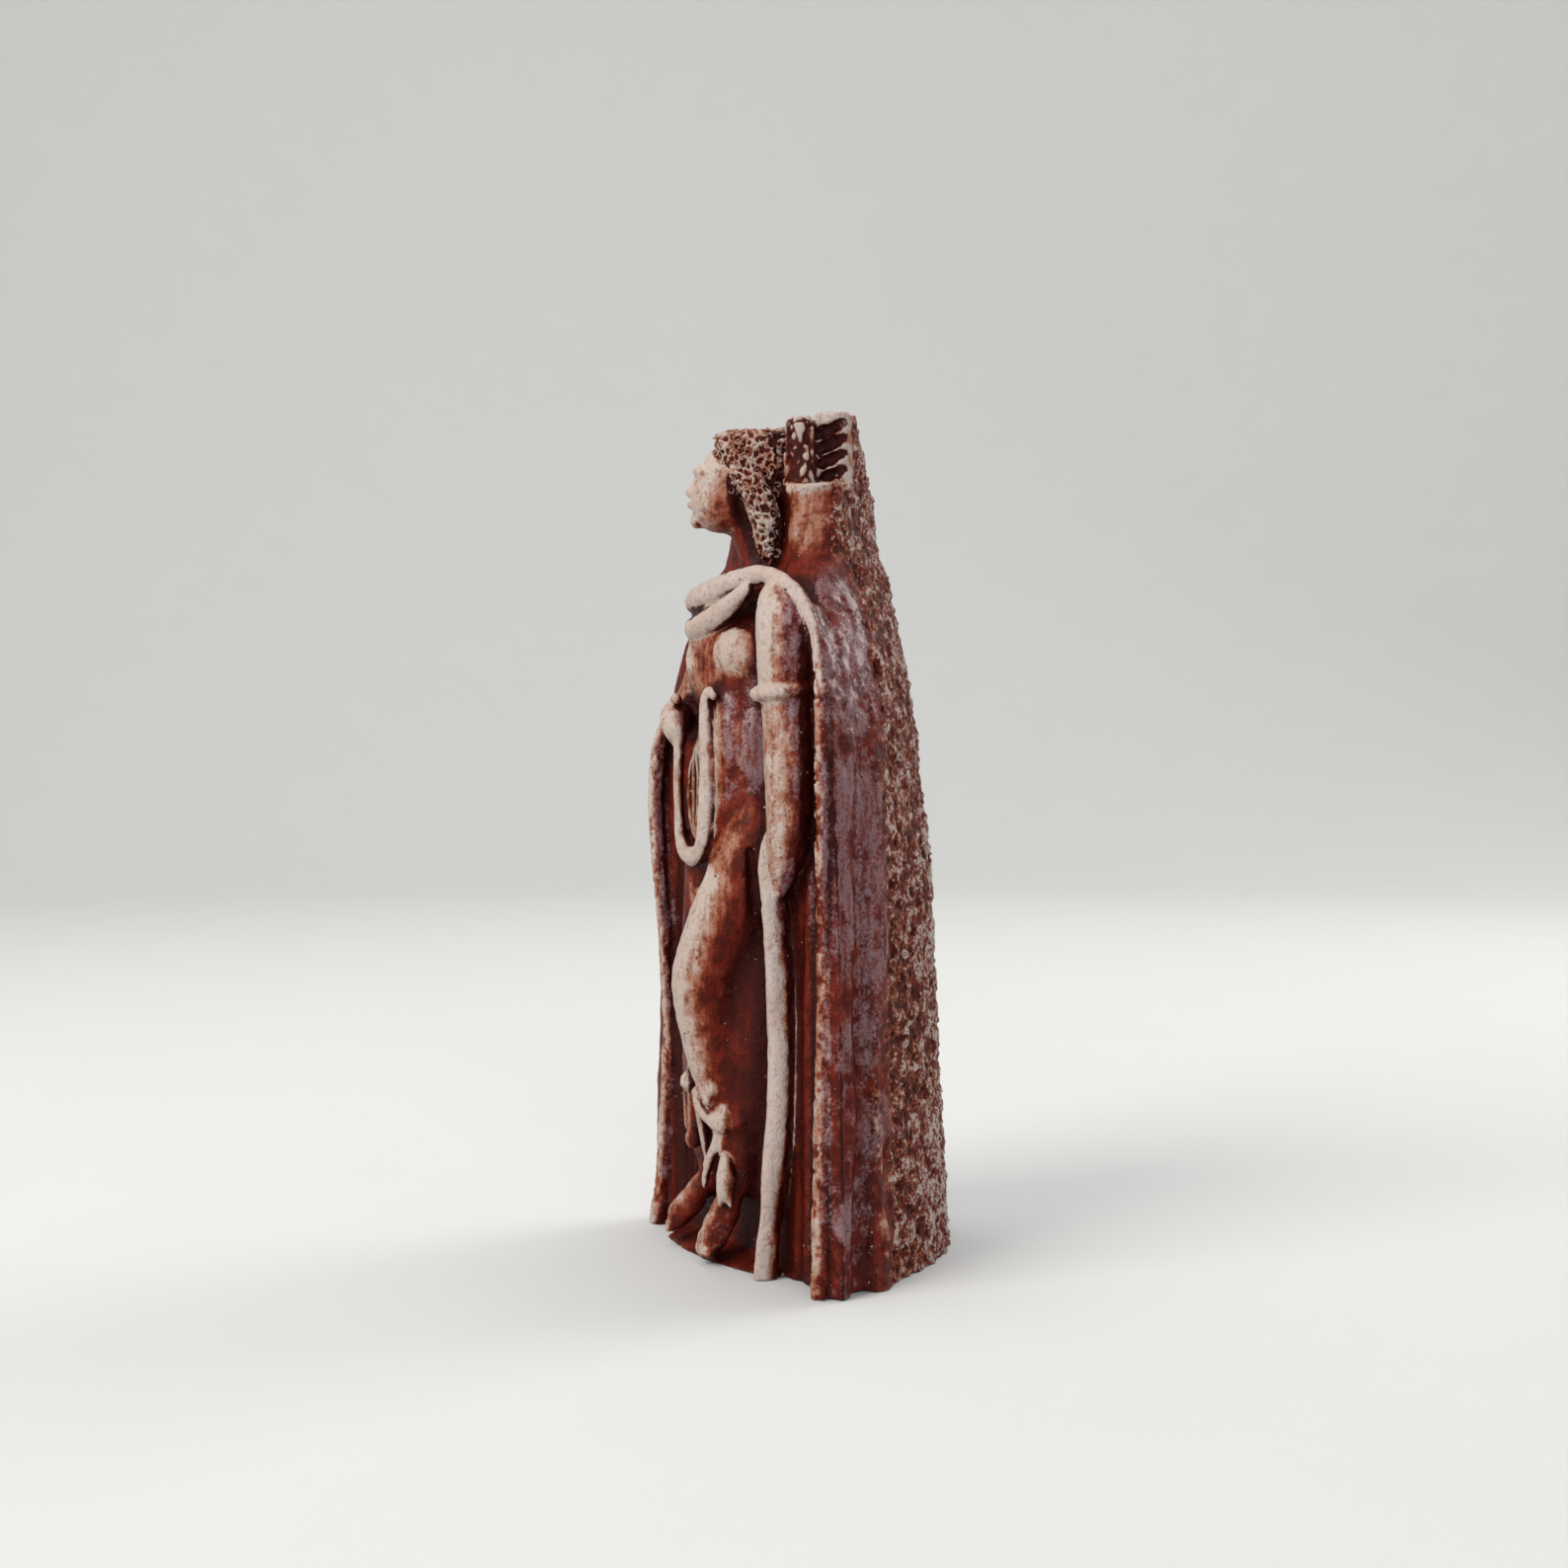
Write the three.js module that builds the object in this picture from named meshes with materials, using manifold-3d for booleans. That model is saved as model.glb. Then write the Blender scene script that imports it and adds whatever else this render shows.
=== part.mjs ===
import * as THREE from 'three';
import { mergeVertices } from 'three/addons/utils/BufferGeometryUtils.js';
import Module from 'manifold-3d';

// Small cast figurine: a god in a long cloak, with a lyre, a quiver of arrows and a bent left knee.
// One casting, in millimetres, +Z up. The figure faces -Y, its own left is +X, and it stands on Z = 0.

// Driving dimensions. Rows are x, y, z and radius of a rounded strand unless a comment says otherwise.
const HEIGHT = 94.5;

// Cloaked column behind the figure: height, half width, back, middle and front of its plan
const CLOAK_ROWS = [
  [-4, 19.4, 17.2, -9.3, -10.4],
  [0, 19.2, 17.0, -9.3, -10.4],
  [8, 18.9, 16.2, -9.3, -10.4],
  [20, 18.4, 15.5, -9.2, -10.2],
  [31, 18.0, 14.8, -9.2, -10.0],
  [43, 17.9, 14.0, -9.3, -10.3],
  [54, 17.6, 12.6, -9.3, -10.4],
  [61, 17.0, 11.6, -9.0, -10.2],
  [67, 15.6, 10.5, -8.6, -9.9],
  [71, 14.0, 9.8, -8.0, -9.4],
  [74.5, 12.0, 9.2, -7.0, -8.8],
  [77, 10.8, 8.8, -6.0, -8.2],
  [78.4, 9.6, 7.9, -5.4, -7.8],
  [84, 8.2, 7.2, -4.6, -7.4],
  [90, 7.4, 5.8, -4.4, -7.0],
  [98, 6.8, 3.6, -4.2, -6.8],
];
const CLOAK_POWER = 1.7;
const CLOAK_FRONT_POWER = 3.5;
const TOP = { drop: 0.5, slope: 0.14, round: 1.2 };

// Rolled edge of the cloak, on the left shoulder and down the left side, then the right side
const LEFT_EDGE = [
  [6.8, -12.5, 75.9, 0.9], [9.4, -12.0, 75.5, 0.9], [11.5, -11.4, 74.4, 0.85], [13.3, -10.8, 72.8, 0.8],
  [14.8, -10.6, 70.5, 0.75], [16.0, -10.6, 67.6, 0.7], [17.1, -10.9, 63.0, 0.7], [17.8, -11.2, 55.0, 0.75],
  [17.8, -11.1, 44.0, 0.8], [17.2, -10.6, 32.0, 0.8], [17.4, -10.9, 20.0, 0.85], [18.0, -11.5, 9.0, 0.95],
  [18.2, -11.7, -3.0, 1.1],
];
const RIGHT_EDGE = [
  [-8.6, -9.6, 75.0, 1.3], [-11.2, -8.2, 72.6, 1.2], [-12.6, -7.8, 68.6, 1.0], [-13.2, -9.3, 64.4, 0.9],
  [-14.3, -10.8, 61.6, 1.0], [-15.8, -11.5, 59.2, 1.0], [-17.0, -11.7, 56.0, 1.0], [-17.5, -11.6, 50.0, 1.0],
  [-17.2, -11.3, 42.0, 1.0], [-16.6, -10.6, 32.0, 1.0], [-16.6, -10.1, 22.0, 1.0], [-17.1, -10.5, 12.0, 1.0],
  [-17.6, -11.1, 3.0, 1.1], [-17.8, -11.4, -3.0, 1.2],
];
// Two rolls of cloth from the breast to the left shoulder
const UPPER_ROLL = [
  [-9.4, -9.0, 74.4, 1.2], [-6.6, -12.0, 73.8, 1.6], [-3.4, -13.0, 74.0, 1.75], [0.8, -13.1, 74.8, 1.5],
  [4.0, -12.8, 75.5, 1.2], [7.4, -12.4, 75.8, 0.95],
];
const LOWER_ROLL = [
  [-8.8, -9.4, 71.4, 1.1], [-6.4, -12.2, 70.8, 1.6], [-3.4, -13.1, 70.9, 1.75], [0.5, -13.5, 71.7, 1.5],
  [3.8, -13.6, 73.0, 1.1], [6.2, -13.3, 74.3, 0.75],
];
// Upright folds on the outer side of the cloak, mirrored on the right side
const SIDE_FOLDS = [
  [[13.4, -8.2, 69.0, 0.4], [15.6, -8.5, 62.0, 0.8], [17.2, -8.8, 50.0, 1.1], [17.6, -8.7, 32.0, 1.2],
    [18.1, -8.9, 14.0, 1.3], [18.6, -9.2, -3.0, 1.4]],
  [[14.4, -3.4, 62.0, 0.4], [16.2, -3.7, 50.0, 0.8], [17.1, -4.0, 32.0, 1.1], [17.8, -4.3, 14.0, 1.2],
    [18.2, -4.6, -3.0, 1.2]],
];

// Upright folds inside the cloak on the right
const INNER_FOLDS = [[-15.0, -9.0, 0.9], [-12.2, -8.4, 1.0], [-9.6, -8.6, 0.9]];
const INNER_FOLD_HEIGHTS = [58.0, 40.0, 20.0, -2.0];

// Hollows between the figure and the edges of its cloak
const LEFT_HOLLOW = [
  [14.0, -11.6, 67.0, 0.6], [14.6, -11.9, 60.0, 1.2], [14.5, -11.7, 48.0, 1.8], [13.7, -11.3, 32.0, 2.1],
  [13.8, -11.5, 16.0, 2.2], [14.0, -11.9, -6.0, 2.2],
];
const RIGHT_HOLLOW = [
  [-11.6, -13.6, 57.6, 1.0], [-12.4, -12.4, 51.0, 2.4], [-12.2, -11.6, 38.0, 3.0], [-12.0, -11.2, 22.0, 3.2],
  [-12.2, -11.8, 3.4, 3.0],
];
const LEFT_GROOVE = [
  [7.6, -13.8, 46.0, 0.4], [7.8, -13.0, 38.0, 0.8], [7.9, -12.4, 28.0, 1.0], [7.5, -12.4, 14.0, 1.3],
  [6.9, -12.8, 2.6, 1.3],
];

// Edge of cloth that hangs under the left hand, deep from front to back, and a faint fold beside it
const HANGING_EDGE = [
  [9.9, -11.4, 50.5, 0.3], [9.6, -12.5, 47.4, 0.5], [9.6, -12.7, 44.6, 0.7], [9.8, -12.2, 41.4, 0.9],
  [9.9, -11.7, 36.5, 1.0], [10.0, -11.3, 31.0, 1.05], [10.0, -11.0, 25.0, 1.1], [10.0, -11.0, 19.5, 1.1],
  [10.0, -11.4, 15.5, 1.05], [9.8, -11.9, 11.0, 1.0], [9.6, -12.2, 7.0, 0.9], [9.2, -12.6, 2.0, 0.95],
  [9.0, -12.7, -2.0, 1.0],
];
const HANGING_DEPTH = 1.7;
const FAINT_FOLD = [
  [13.4, -9.6, 44.0, 0.5], [12.8, -9.2, 30.0, 0.8], [13.1, -9.3, 14.0, 0.9], [13.4, -9.7, -2.0, 0.9],
];

// Rounded masses of the body: centre and radii
const CHEST = [0.0, -10.3, 66.6, 8.4, 3.9, 6.8];
const BREASTS = [[3.4, -12.4, 67.5, 3.9, 1.9, 2.9], [-3.4, -12.3, 67.3, 3.6, 1.8, 2.9]];
const CHEST_TURN = 9;
const BELLY = [0.4, -10.6, 57.0, 7.3, 3.9, 9.5];
const HIPS = [0.2, -10.7, 47.0, 7.8, 3.7, 7.5];
const SKIRT = [
  [-0.4, -10.4, 46.0, 2.7], [-1.2, -11.0, 30.0, 2.9], [-1.6, -11.2, 18.0, 2.8], [-1.8, -11.2, 12.8, 2.3],
];
const SKIRT_WIDTH = 2.7;
const LEFT_LEG = [
  [5.4, -11.2, 48.5, 3.3], [3.6, -13.1, 41.5, 3.9], [1.0, -15.0, 34.0, 3.8], [0.4, -15.2, 29.5, 3.5],
  [0.9, -14.1, 22.0, 2.9], [1.7, -12.7, 15.5, 2.1], [2.4, -11.8, 9.0, 1.5],
];
// Long folds of the thin dress, low on the body
const DRESS_FOLDS = [
  [[-6.6, -12.4, 45.0, 0.5], [-3.0, -14.0, 40.0, 0.7], [-1.6, -14.3, 30.0, 0.7], [-2.0, -14.2, 16.0, 0.8]],
  [[-7.0, -12.2, 40.0, 0.5], [-5.4, -13.6, 34.0, 0.7], [-4.2, -14.0, 24.0, 0.8], [-4.4, -13.8, 13.5, 0.8]],
  [[-7.6, -11.8, 34.0, 0.5], [-7.2, -12.6, 26.0, 0.7], [-6.8, -12.9, 14.0, 0.8]],
  [[2.4, -14.6, 46.0, 0.4], [-0.6, -14.6, 41.6, 0.5], [-3.6, -13.8, 41.0, 0.4]],
];
const RIGHT_LEG = [
  [-4.8, -10.6, 46.5, 3.5], [-5.0, -11.6, 32.0, 3.0], [-5.3, -11.4, 20.0, 2.4], [-5.6, -10.7, 8.0, 1.5],
];
const LEFT_FOOT = [
  [2.6, -12.4, 8.8, 1.2], [2.3, -13.6, 5.4, 1.45], [1.9, -14.6, 2.8, 1.4], [1.5, -15.2, 1.0, 1.0],
];
const RIGHT_FOOT = [
  [-5.9, -11.4, 7.6, 1.1], [-6.7, -12.6, 5.6, 1.4], [-7.6, -13.6, 3.8, 1.4], [-8.3, -14.4, 2.2, 1.0],
];

// Knotted hem below the left knee, its two tails and the end of a fold over the foot
const HEM_KNOTS = [[0.1, -15.0, 19.0, 1.0, 0.9, 0.8], [-2.3, -15.4, 19.4, 0.8, 0.8, 1.3]];
const HEM_FOLD = [2.5, -13.5, 16.3, 2.5, 1.7, 2.0];
const HEM_DRIP = [-3.2, -13.7, 12.3, 1.1, 1.2, 1.4];
const HEM_TAILS = [
  [[1.9, -13.9, 14.8, 0.8], [1.0, -14.5, 12.4, 0.6], [0.3, -14.9, 10.6, 0.5], [0.0, -15.1, 8.6, 0.3]],
  [[-1.2, -15.2, 18.0, 0.6], [-1.2, -14.6, 14.6, 0.5], [-0.8, -14.2, 11.0, 0.35]],
  [[2.1, -14.0, 10.8, 0.8], [2.7, -13.8, 9.0, 1.3], [3.3, -13.9, 7.2, 0.7]],
];

// Left arm hanging, with an armlet; right arm bent, its hand on the lyre
const LEFT_ARM = [
  [10.1, -11.1, 72.6, 2.7], [10.9, -11.4, 70.6, 3.1], [11.3, -11.5, 68.0, 3.2], [11.6, -11.7, 63.8, 3.0],
  [11.9, -11.6, 60.6, 2.8], [12.2, -11.6, 54.5, 2.8], [12.2, -11.6, 49.4, 2.6], [11.9, -11.8, 46.4, 2.2],
  [11.5, -12.0, 44.2, 1.6], [11.1, -12.2, 41.8, 0.7],
];
const ARMLET = { centre: [11.5, -11.8, 63.2], radius: 2.95, thickness: 0.8, tilt: 8 };
const RIGHT_ARM = [
  [-9.0, -8.6, 72.0, 2.6], [-11.0, -8.4, 66.0, 2.5], [-12.6, -9.6, 61.4, 2.2], [-11.2, -11.8, 60.6, 1.7],
  [-9.0, -13.2, 61.0, 1.4],
];
const RIGHT_HAND = [
  [-9.2, -13.4, 61.2, 1.6], [-7.6, -14.6, 60.8, 1.75], [-6.4, -15.2, 59.6, 1.5], [-5.9, -15.2, 58.4, 1.0],
];
const THUMB = [[-8.0, -14.4, 61.8, 0.7], [-6.9, -14.9, 62.7, 0.65], [-5.8, -15.2, 62.6, 0.5]];

// Lyre: each half of its frame as distance from its axis, height above its foot and radius
const LYRE = { axis: -2.2, front: -15.2, foot: 45.1 };
const LYRE_LEFT = [
  [0.0, 0.0, 1.05], [1.5, 0.3, 1.1], [2.7, 1.7, 1.1], [3.1, 4.0, 1.05], [3.3, 7.0, 1.05], [3.2, 11.0, 1.0],
  [2.9, 15.0, 0.95], [2.8, 17.3, 0.8], [3.5, 18.2, 0.65], [4.6, 17.7, 0.5],
];
const LYRE_RIGHT = [
  [0.0, 0.0, 1.05], [-1.5, 0.3, 1.0], [-2.7, 1.7, 0.85], [-3.2, 4.0, 0.7], [-3.5, 7.0, 0.65],
  [-3.5, 10.0, 0.65], [-3.3, 14.0, 0.65],
];
const SOUND_BOARD = [-2.2, -14.0, 51.5, 2.9, 1.0, 6.6];

// Head in its own frame, face toward -Y, then turned to the figure's right with the chin a little up
const HEAD = { centre: [-2.0, -10.0, 86.5], turn: -42, nod: -8 };
const SKULL = [0, 0, 0, 4.1, 4.6, 5.0];
const JAW = [0, -1.6, -2.1, 3.2, 3.0, 3.1];
const CHIN = [0, -3.7, -4.2, 1.2, 0.9, 0.9];
const NOSE = [[0, -4.2, 0.8, 0.5], [0, -4.8, -0.8, 0.6], [0, -4.9, -1.1, 0.65]];
const BROWS = [[-2.7, -3.5, 0.9, 0.4], [-1.3, -4.3, 1.4, 0.5], [0, -4.5, 1.2, 0.45], [1.3, -4.3, 1.4, 0.5],
  [2.7, -3.5, 0.9, 0.4]];
const EYE_HOLLOWS = [[-1.4, -4.7, 0.2, 1.0, 0.8, 0.6], [1.4, -4.7, 0.2, 1.0, 0.8, 0.6]];
const LIPS = [[-1.0, -4.4, -2.6, 0.3], [0, -4.8, -2.5, 0.45], [1.0, -4.4, -2.6, 0.3]];
const NECK = [[-0.2, -7.0, 75.5, 3.2], [-0.6, -7.2, 79.0, 2.5], [-1.4, -8.4, 83.0, 2.7]];

// Hair in the head's own frame: cap, fringe and the lock behind each cheek; its flat top is level
const HAIR_CAP = [0, 2.3, 2.5, 4.5, 4.7, 4.4];
const HAIR_TOP = 92.7;
const FRINGE = [
  [-3.2, -1.4, 4.4, 1.2], [-1.6, -2.1, 4.9, 1.2], [0, -2.3, 5.0, 1.2], [1.6, -2.1, 4.9, 1.2],
  [3.2, -1.4, 4.4, 1.2],
];
const LOCK = [
  [3.2, -1.2, 4.2, 1.3], [3.7, -0.1, 2.4, 1.5], [3.9, 1.4, 0.2, 1.7], [3.7, 3.0, -2.4, 1.8],
  [3.3, 4.4, -5.0, 1.5], [2.8, 5.2, -7.6, 0.9],
];
// Small curls on it: rows of elevation and number round the cap, then those along the locks
const CURLS = { radius: 0.75, rows: [[0, 13], [26, 11]], perSpan: 2, turn: 2.4, stand: 0.8 };
const NAPE_HOLLOW = [[0.2, -11.8, 83.6, 0.7], [1.5, -10.9, 81.6, 1.1], [2.6, -10.0, 79.4, 1.1]];

// Quiver behind the left shoulder with two fletched arrows
const QUIVER = [[7.0, -4.0, 75.0, 3.3], [6.5, -4.3, 86.0, 3.5]];
const QUIVER_RIM = { centre: [6.5, -4.3, 85.6], radius: 3.5, thickness: 0.5, tilt: 3 };
const FLETCHINGS = [
  { centre: [6.4, -6.5], half: 1.6, deep: 1.9, low: 84.6, high: 93.6 },
  { centre: [6.6, -2.0], half: 2.7, deep: 2.0, low: 84.6, high: 94.5 },
];
// Slots across the second arrow's feathers
const SLOT = [[6.9, -4.8, -0.7, 0.45], [7.9, -3.6, -0.1, 0.6], [8.7, -2.0, 0.8, 0.35]];
const SLOT_HEIGHTS = [87.2, 88.9, 90.6, 92.3];

// Low ground under the feet: centre and radii
const GROUND = [-3.0, -9.8, -1.0, 15.0, 5.7, 2.3];

// Sampling step, spare depth that the flat foot is cut from, number of facets before the cut
// and half width of the sampled room
const STEP = 0.6;
const SPARE = 1.8;
const FACETS = 9300;
const REACH = 22;

// Guards of the sampling: no sample lies nearer the surface than this, and nothing is divided by less
const LEAST_DISTANCE = 1e-4;
const TINY = 1e-9;

// Limits of the collapse: least sharpness of a corner that is kept as one, weight of edge length,
// least cosine of a turn and least fullness of a facet, and the share of its ring below which
// a facet is a crumb; then the most rounds and the share by which the points are evened out first
const LEAST_CORNER = 1e-4;
const LENGTH_WEIGHT = 2e-4;
const LEAST_TURN = 0.3;
const LEAST_SHAPE = 0.06;
const CRUMB = 0.04;
const ROUNDS = 8;
const RELAX = 0.8;

const radians = THREE.MathUtils.degToRad;

// Smooth joins of two distances
function softMin(a, b, reach) {
  const h = Math.max(reach - Math.abs(a - b), 0) / reach;
  return Math.min(a, b) - h * h * reach / 4;
}

function softMax(a, b, reach) {
  return -softMin(-a, -b, reach);
}

// Values of a row table at height z, by a cubic through the rows
function rowAt(rows, z) {
  let i = 0;
  while (i < rows.length - 2 && z > rows[i + 1][0]) i += 1;
  const width = rows[i + 1][0] - rows[i][0];
  const t = Math.min(Math.max((z - rows[i][0]) / width, 0), 1);
  const t2 = t * t;
  const t3 = t2 * t;
  const slope = (j, k) => {
    const a = Math.max(j - 1, 0);
    const b = Math.min(j + 1, rows.length - 1);
    return (rows[b][k] - rows[a][k]) / (rows[b][0] - rows[a][0]) * width;
  };
  return rows[i].map((value, k) => {
    const rise = (t3 - 2 * t2 + t) * slope(i, k) + (t3 - t2) * slope(i + 1, k);
    return (2 * t3 - 3 * t2 + 1) * value + (3 * t2 - 2 * t3) * rows[i + 1][k] + rise;
  });
}

// Rows along a smooth curve through the given rows
function along(rows, perSpan) {
  const out = [];
  for (let i = 0; i < rows.length - 1; i += 1) {
    const before = rows[Math.max(i - 1, 0)];
    const start = rows[i];
    const end = rows[i + 1];
    const after = rows[Math.min(i + 2, rows.length - 1)];
    for (let n = 0; n < perSpan; n += 1) {
      const t = n / perSpan;
      out.push(start.map((value, k) => value + 0.5 * t * (end[k] - before[k]
        + t * (2 * before[k] - 5 * value + 4 * end[k] - after[k])
        + t * t * (3 * value - before[k] - 3 * end[k] + after[k]))));
    }
  }
  out.push(rows[rows.length - 1].slice());
  return out;
}

// Every form is a distance function, negative inside, with a box that holds it
function strand(rows, stretch = [1, 1, 1]) {
  const points = rows.length > 2 ? along(rows, 3) : rows;
  const scaled = points.map((p) => [p[0] / stretch[0], p[1] / stretch[1], p[2] / stretch[2], p[3]]);
  const least = Math.min(...stretch);
  const box = new THREE.Box3();
  points.forEach((p) => {
    const here = new THREE.Vector3(p[0], p[1], p[2]);
    const reach = new THREE.Vector3(...stretch).multiplyScalar(p[3]);
    box.expandByPoint(here.clone().add(reach));
    box.expandByPoint(here.sub(reach));
  });
  const distance = (x, y, z) => {
    const px = x / stretch[0];
    const py = y / stretch[1];
    const pz = z / stretch[2];
    let best = Infinity;
    for (let i = 0; i < scaled.length - 1; i += 1) {
      const [ax, ay, az, ar] = scaled[i];
      const ux = scaled[i + 1][0] - ax;
      const uy = scaled[i + 1][1] - ay;
      const uz = scaled[i + 1][2] - az;
      const dot = (px - ax) * ux + (py - ay) * uy + (pz - az) * uz;
      const t = Math.min(Math.max(dot / (ux * ux + uy * uy + uz * uz), 0), 1);
      const gap = Math.hypot(px - ax - t * ux, py - ay - t * uy, pz - az - t * uz);
      best = Math.min(best, gap - ar - t * (scaled[i + 1][3] - ar));
    }
    return best * least;
  };
  return { distance, box };
}

// Ellipsoid from its centre and radii, turned about the upright
function blob([cx, cy, cz, rx, ry, rz], turn = 0) {
  const c = Math.cos(radians(turn));
  const s = Math.sin(radians(turn));
  const reach = new THREE.Vector3(Math.max(rx, ry), Math.max(rx, ry), rz);
  const middle = new THREE.Vector3(cx, cy, cz);
  const box = new THREE.Box3(middle.clone().sub(reach), middle.clone().add(reach));
  const distance = (x, y, z) => {
    const ux = (c * (x - cx) + s * (y - cy)) / rx;
    const uy = (c * (y - cy) - s * (x - cx)) / ry;
    const uz = (z - cz) / rz;
    const size = Math.hypot(ux, uy, uz);
    const growth = Math.hypot(ux / rx, uy / ry, uz / rz);
    return growth < TINY ? -Math.min(rx, ry, rz) : size * (size - 1) / growth;
  };
  return { distance, box };
}

// Ring around an upright axis, tilted about X
function ring({ centre, radius, thickness, tilt }) {
  const c = Math.cos(radians(tilt));
  const s = Math.sin(radians(tilt));
  const size = new THREE.Vector3(1, 1, 1).multiplyScalar(2 * (radius + thickness));
  const box = new THREE.Box3().setFromCenterAndSize(new THREE.Vector3(...centre), size);
  const distance = (x, y, z) => {
    const dy = c * (y - centre[1]) + s * (z - centre[2]);
    const dz = c * (z - centre[2]) - s * (y - centre[1]);
    return Math.hypot(Math.hypot(x - centre[0], dy) - radius, dz) - thickness;
  };
  return { distance, box };
}

// A form below a level plane
function below(form, level, round) {
  const distance = (x, y, z) => softMax(form.distance(x, y, z), z - level, round);
  return { distance, box: form.box };
}

// A form made in the head's own frame, set in its place
const headTurn = new THREE.Matrix4().makeRotationZ(radians(HEAD.turn))
  .multiply(new THREE.Matrix4().makeRotationX(radians(HEAD.nod)))
  .setPosition(...HEAD.centre);

function onHead(form) {
  const box = form.box.clone().applyMatrix4(headTurn);
  const e = headTurn.clone().invert().elements;
  const distance = (x, y, z) => form.distance(
    e[0] * x + e[4] * y + e[8] * z + e[12],
    e[1] * x + e[5] * y + e[9] * z + e[13],
    e[2] * x + e[6] * y + e[10] * z + e[14],
  );
  return { distance, box };
}

const forms = [];

function join(form, blend) {
  forms.push({ ...form, blend, cut: false });
}

function carve(form, blend) {
  forms.push({ ...form, blend, cut: true });
}

// The cloaked column; its row is kept while the height stays the same
let columnHeight = NaN;
let columnRow = [];

function column(x, y, z) {
  if (z !== columnHeight) {
    columnHeight = z;
    columnRow = rowAt(CLOAK_ROWS, z);
  }
  const [, half, back, middle, front] = columnRow;
  const behind = y > middle;
  const length = behind ? back - middle : middle - front;
  const power = behind ? CLOAK_POWER : CLOAK_FRONT_POWER;
  const u = Math.max(Math.abs(x) / half, TINY);
  const v = Math.max(Math.abs(y - middle) / length, TINY);
  const size = (u ** power + v ** power) ** (1 / power);
  const growth = Math.hypot(u ** (power - 1) / half, v ** (power - 1) / length) * size ** (1 - power);
  const top = z - HEIGHT + TOP.drop - TOP.slope * y;
  return softMax((size - 1) / growth, top, TOP.round);
}

function cloak() {
  join(blob(GROUND), 1.0);
  [1, -1].forEach((side) => {
    SIDE_FOLDS.forEach((rows) => join(strand(rows.map(([x, ...rest]) => [side * x, ...rest])), 2.4));
  });
  join(strand(LEFT_EDGE), 0.9);
  join(strand(RIGHT_EDGE), 0.9);
  carve(strand(LEFT_HOLLOW), 0.9);
  carve(strand(RIGHT_HOLLOW), 1.2);
  join(strand(FAINT_FOLD), 0.8);
  INNER_FOLDS.forEach(([x, y, r]) => {
    join(strand(INNER_FOLD_HEIGHTS.map((z, n) => [x + 0.5 * (n % 2), y, z, r * (0.6 + 0.2 * n)])), 1.0);
  });
}

function body() {
  join(blob(CHEST, CHEST_TURN), 1.4);
  BREASTS.forEach((row) => join(blob(row, CHEST_TURN), 0.7));
  join(blob(BELLY), 2.0);
  join(blob(HIPS), 2.0);
  join(strand(SKIRT, [SKIRT_WIDTH, 1, 1]), 1.5);
  join(strand(RIGHT_LEG), 1.6);
  join(strand(LEFT_LEG), 1.8);
  DRESS_FOLDS.forEach((rows) => join(strand(rows), 0.9));
  carve(strand(LEFT_GROOVE), 0.8);
}

function hemAndFeet() {
  join(strand(LEFT_FOOT), 0.6);
  join(strand(RIGHT_FOOT), 0.6);
  [...HEM_KNOTS, HEM_FOLD, HEM_DRIP].forEach((row) => join(blob(row), 0.5));
  HEM_TAILS.forEach((rows) => join(strand(rows), 0.35));
}

function rolls() {
  join(strand(LOWER_ROLL), 0.4);
  join(strand(UPPER_ROLL), 0.3);
}

function arms() {
  join(strand(RIGHT_ARM), 0.8);
  join(strand(LEFT_ARM), 0.5);
  join(ring(ARMLET), 0.25);
  join(strand(HANGING_EDGE, [1, HANGING_DEPTH, 1]), 0.5);
}

function lyre() {
  join(blob(SOUND_BOARD), 0.5);
  [LYRE_LEFT, LYRE_RIGHT].forEach((half) => {
    join(strand(half.map(([x, z, r]) => [LYRE.axis + x, LYRE.front, LYRE.foot + z, r])), 0.35);
  });
  join(strand(RIGHT_HAND), 0.4);
  join(strand(THUMB), 0.3);
}

function head() {
  join(strand(NECK), 0.9);
  join(onHead(blob(SKULL)), 0.7);
  join(onHead(blob(JAW)), 0.9);
  join(onHead(blob(CHIN)), 0.6);
  EYE_HOLLOWS.forEach((row) => carve(onHead(blob(row)), 0.4));
  join(onHead(strand(BROWS)), 0.3);
  join(onHead(strand(NOSE)), 0.3);
  join(onHead(strand(LIPS)), 0.2);
}

function hair() {
  const locks = [1, -1].map((side) => LOCK.map(([x, ...rest]) => [side * x, ...rest]));
  const combed = (form, blend) => join(below(onHead(form), HAIR_TOP, 0.5), blend);
  carve(strand(NAPE_HOLLOW), 0.4);
  const masses = [blob(HAIR_CAP), strand(FRINGE), ...locks.map((rows) => strand(rows))];
  masses.forEach((form) => combed(form, 0.4));
  const curl = (x, y, z) => combed(blob([x, y, z, CURLS.radius, CURLS.radius, CURLS.radius]), 0.2);
  const [cx, cy, cz, rx, ry, rz] = HAIR_CAP;
  CURLS.rows.forEach(([elevation, count], i) => {
    const flat = Math.cos(radians(elevation));
    for (let n = 0; n < count; n += 1) {
      const turn = (n + i / 2) * 2 * Math.PI / count;
      const rise = rz * Math.sin(radians(elevation));
      curl(cx + rx * flat * Math.cos(turn), cy + ry * flat * Math.sin(turn), cz + rise);
    }
  });
  locks.forEach((rows) => along(rows, CURLS.perSpan).forEach(([x, y, z, r], n) => {
    const out = CURLS.stand * r;
    const turn = n * CURLS.turn;
    curl(x + out * Math.sign(x) * Math.abs(Math.cos(turn)), y + out * Math.sin(turn), z);
  }));
}

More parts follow.
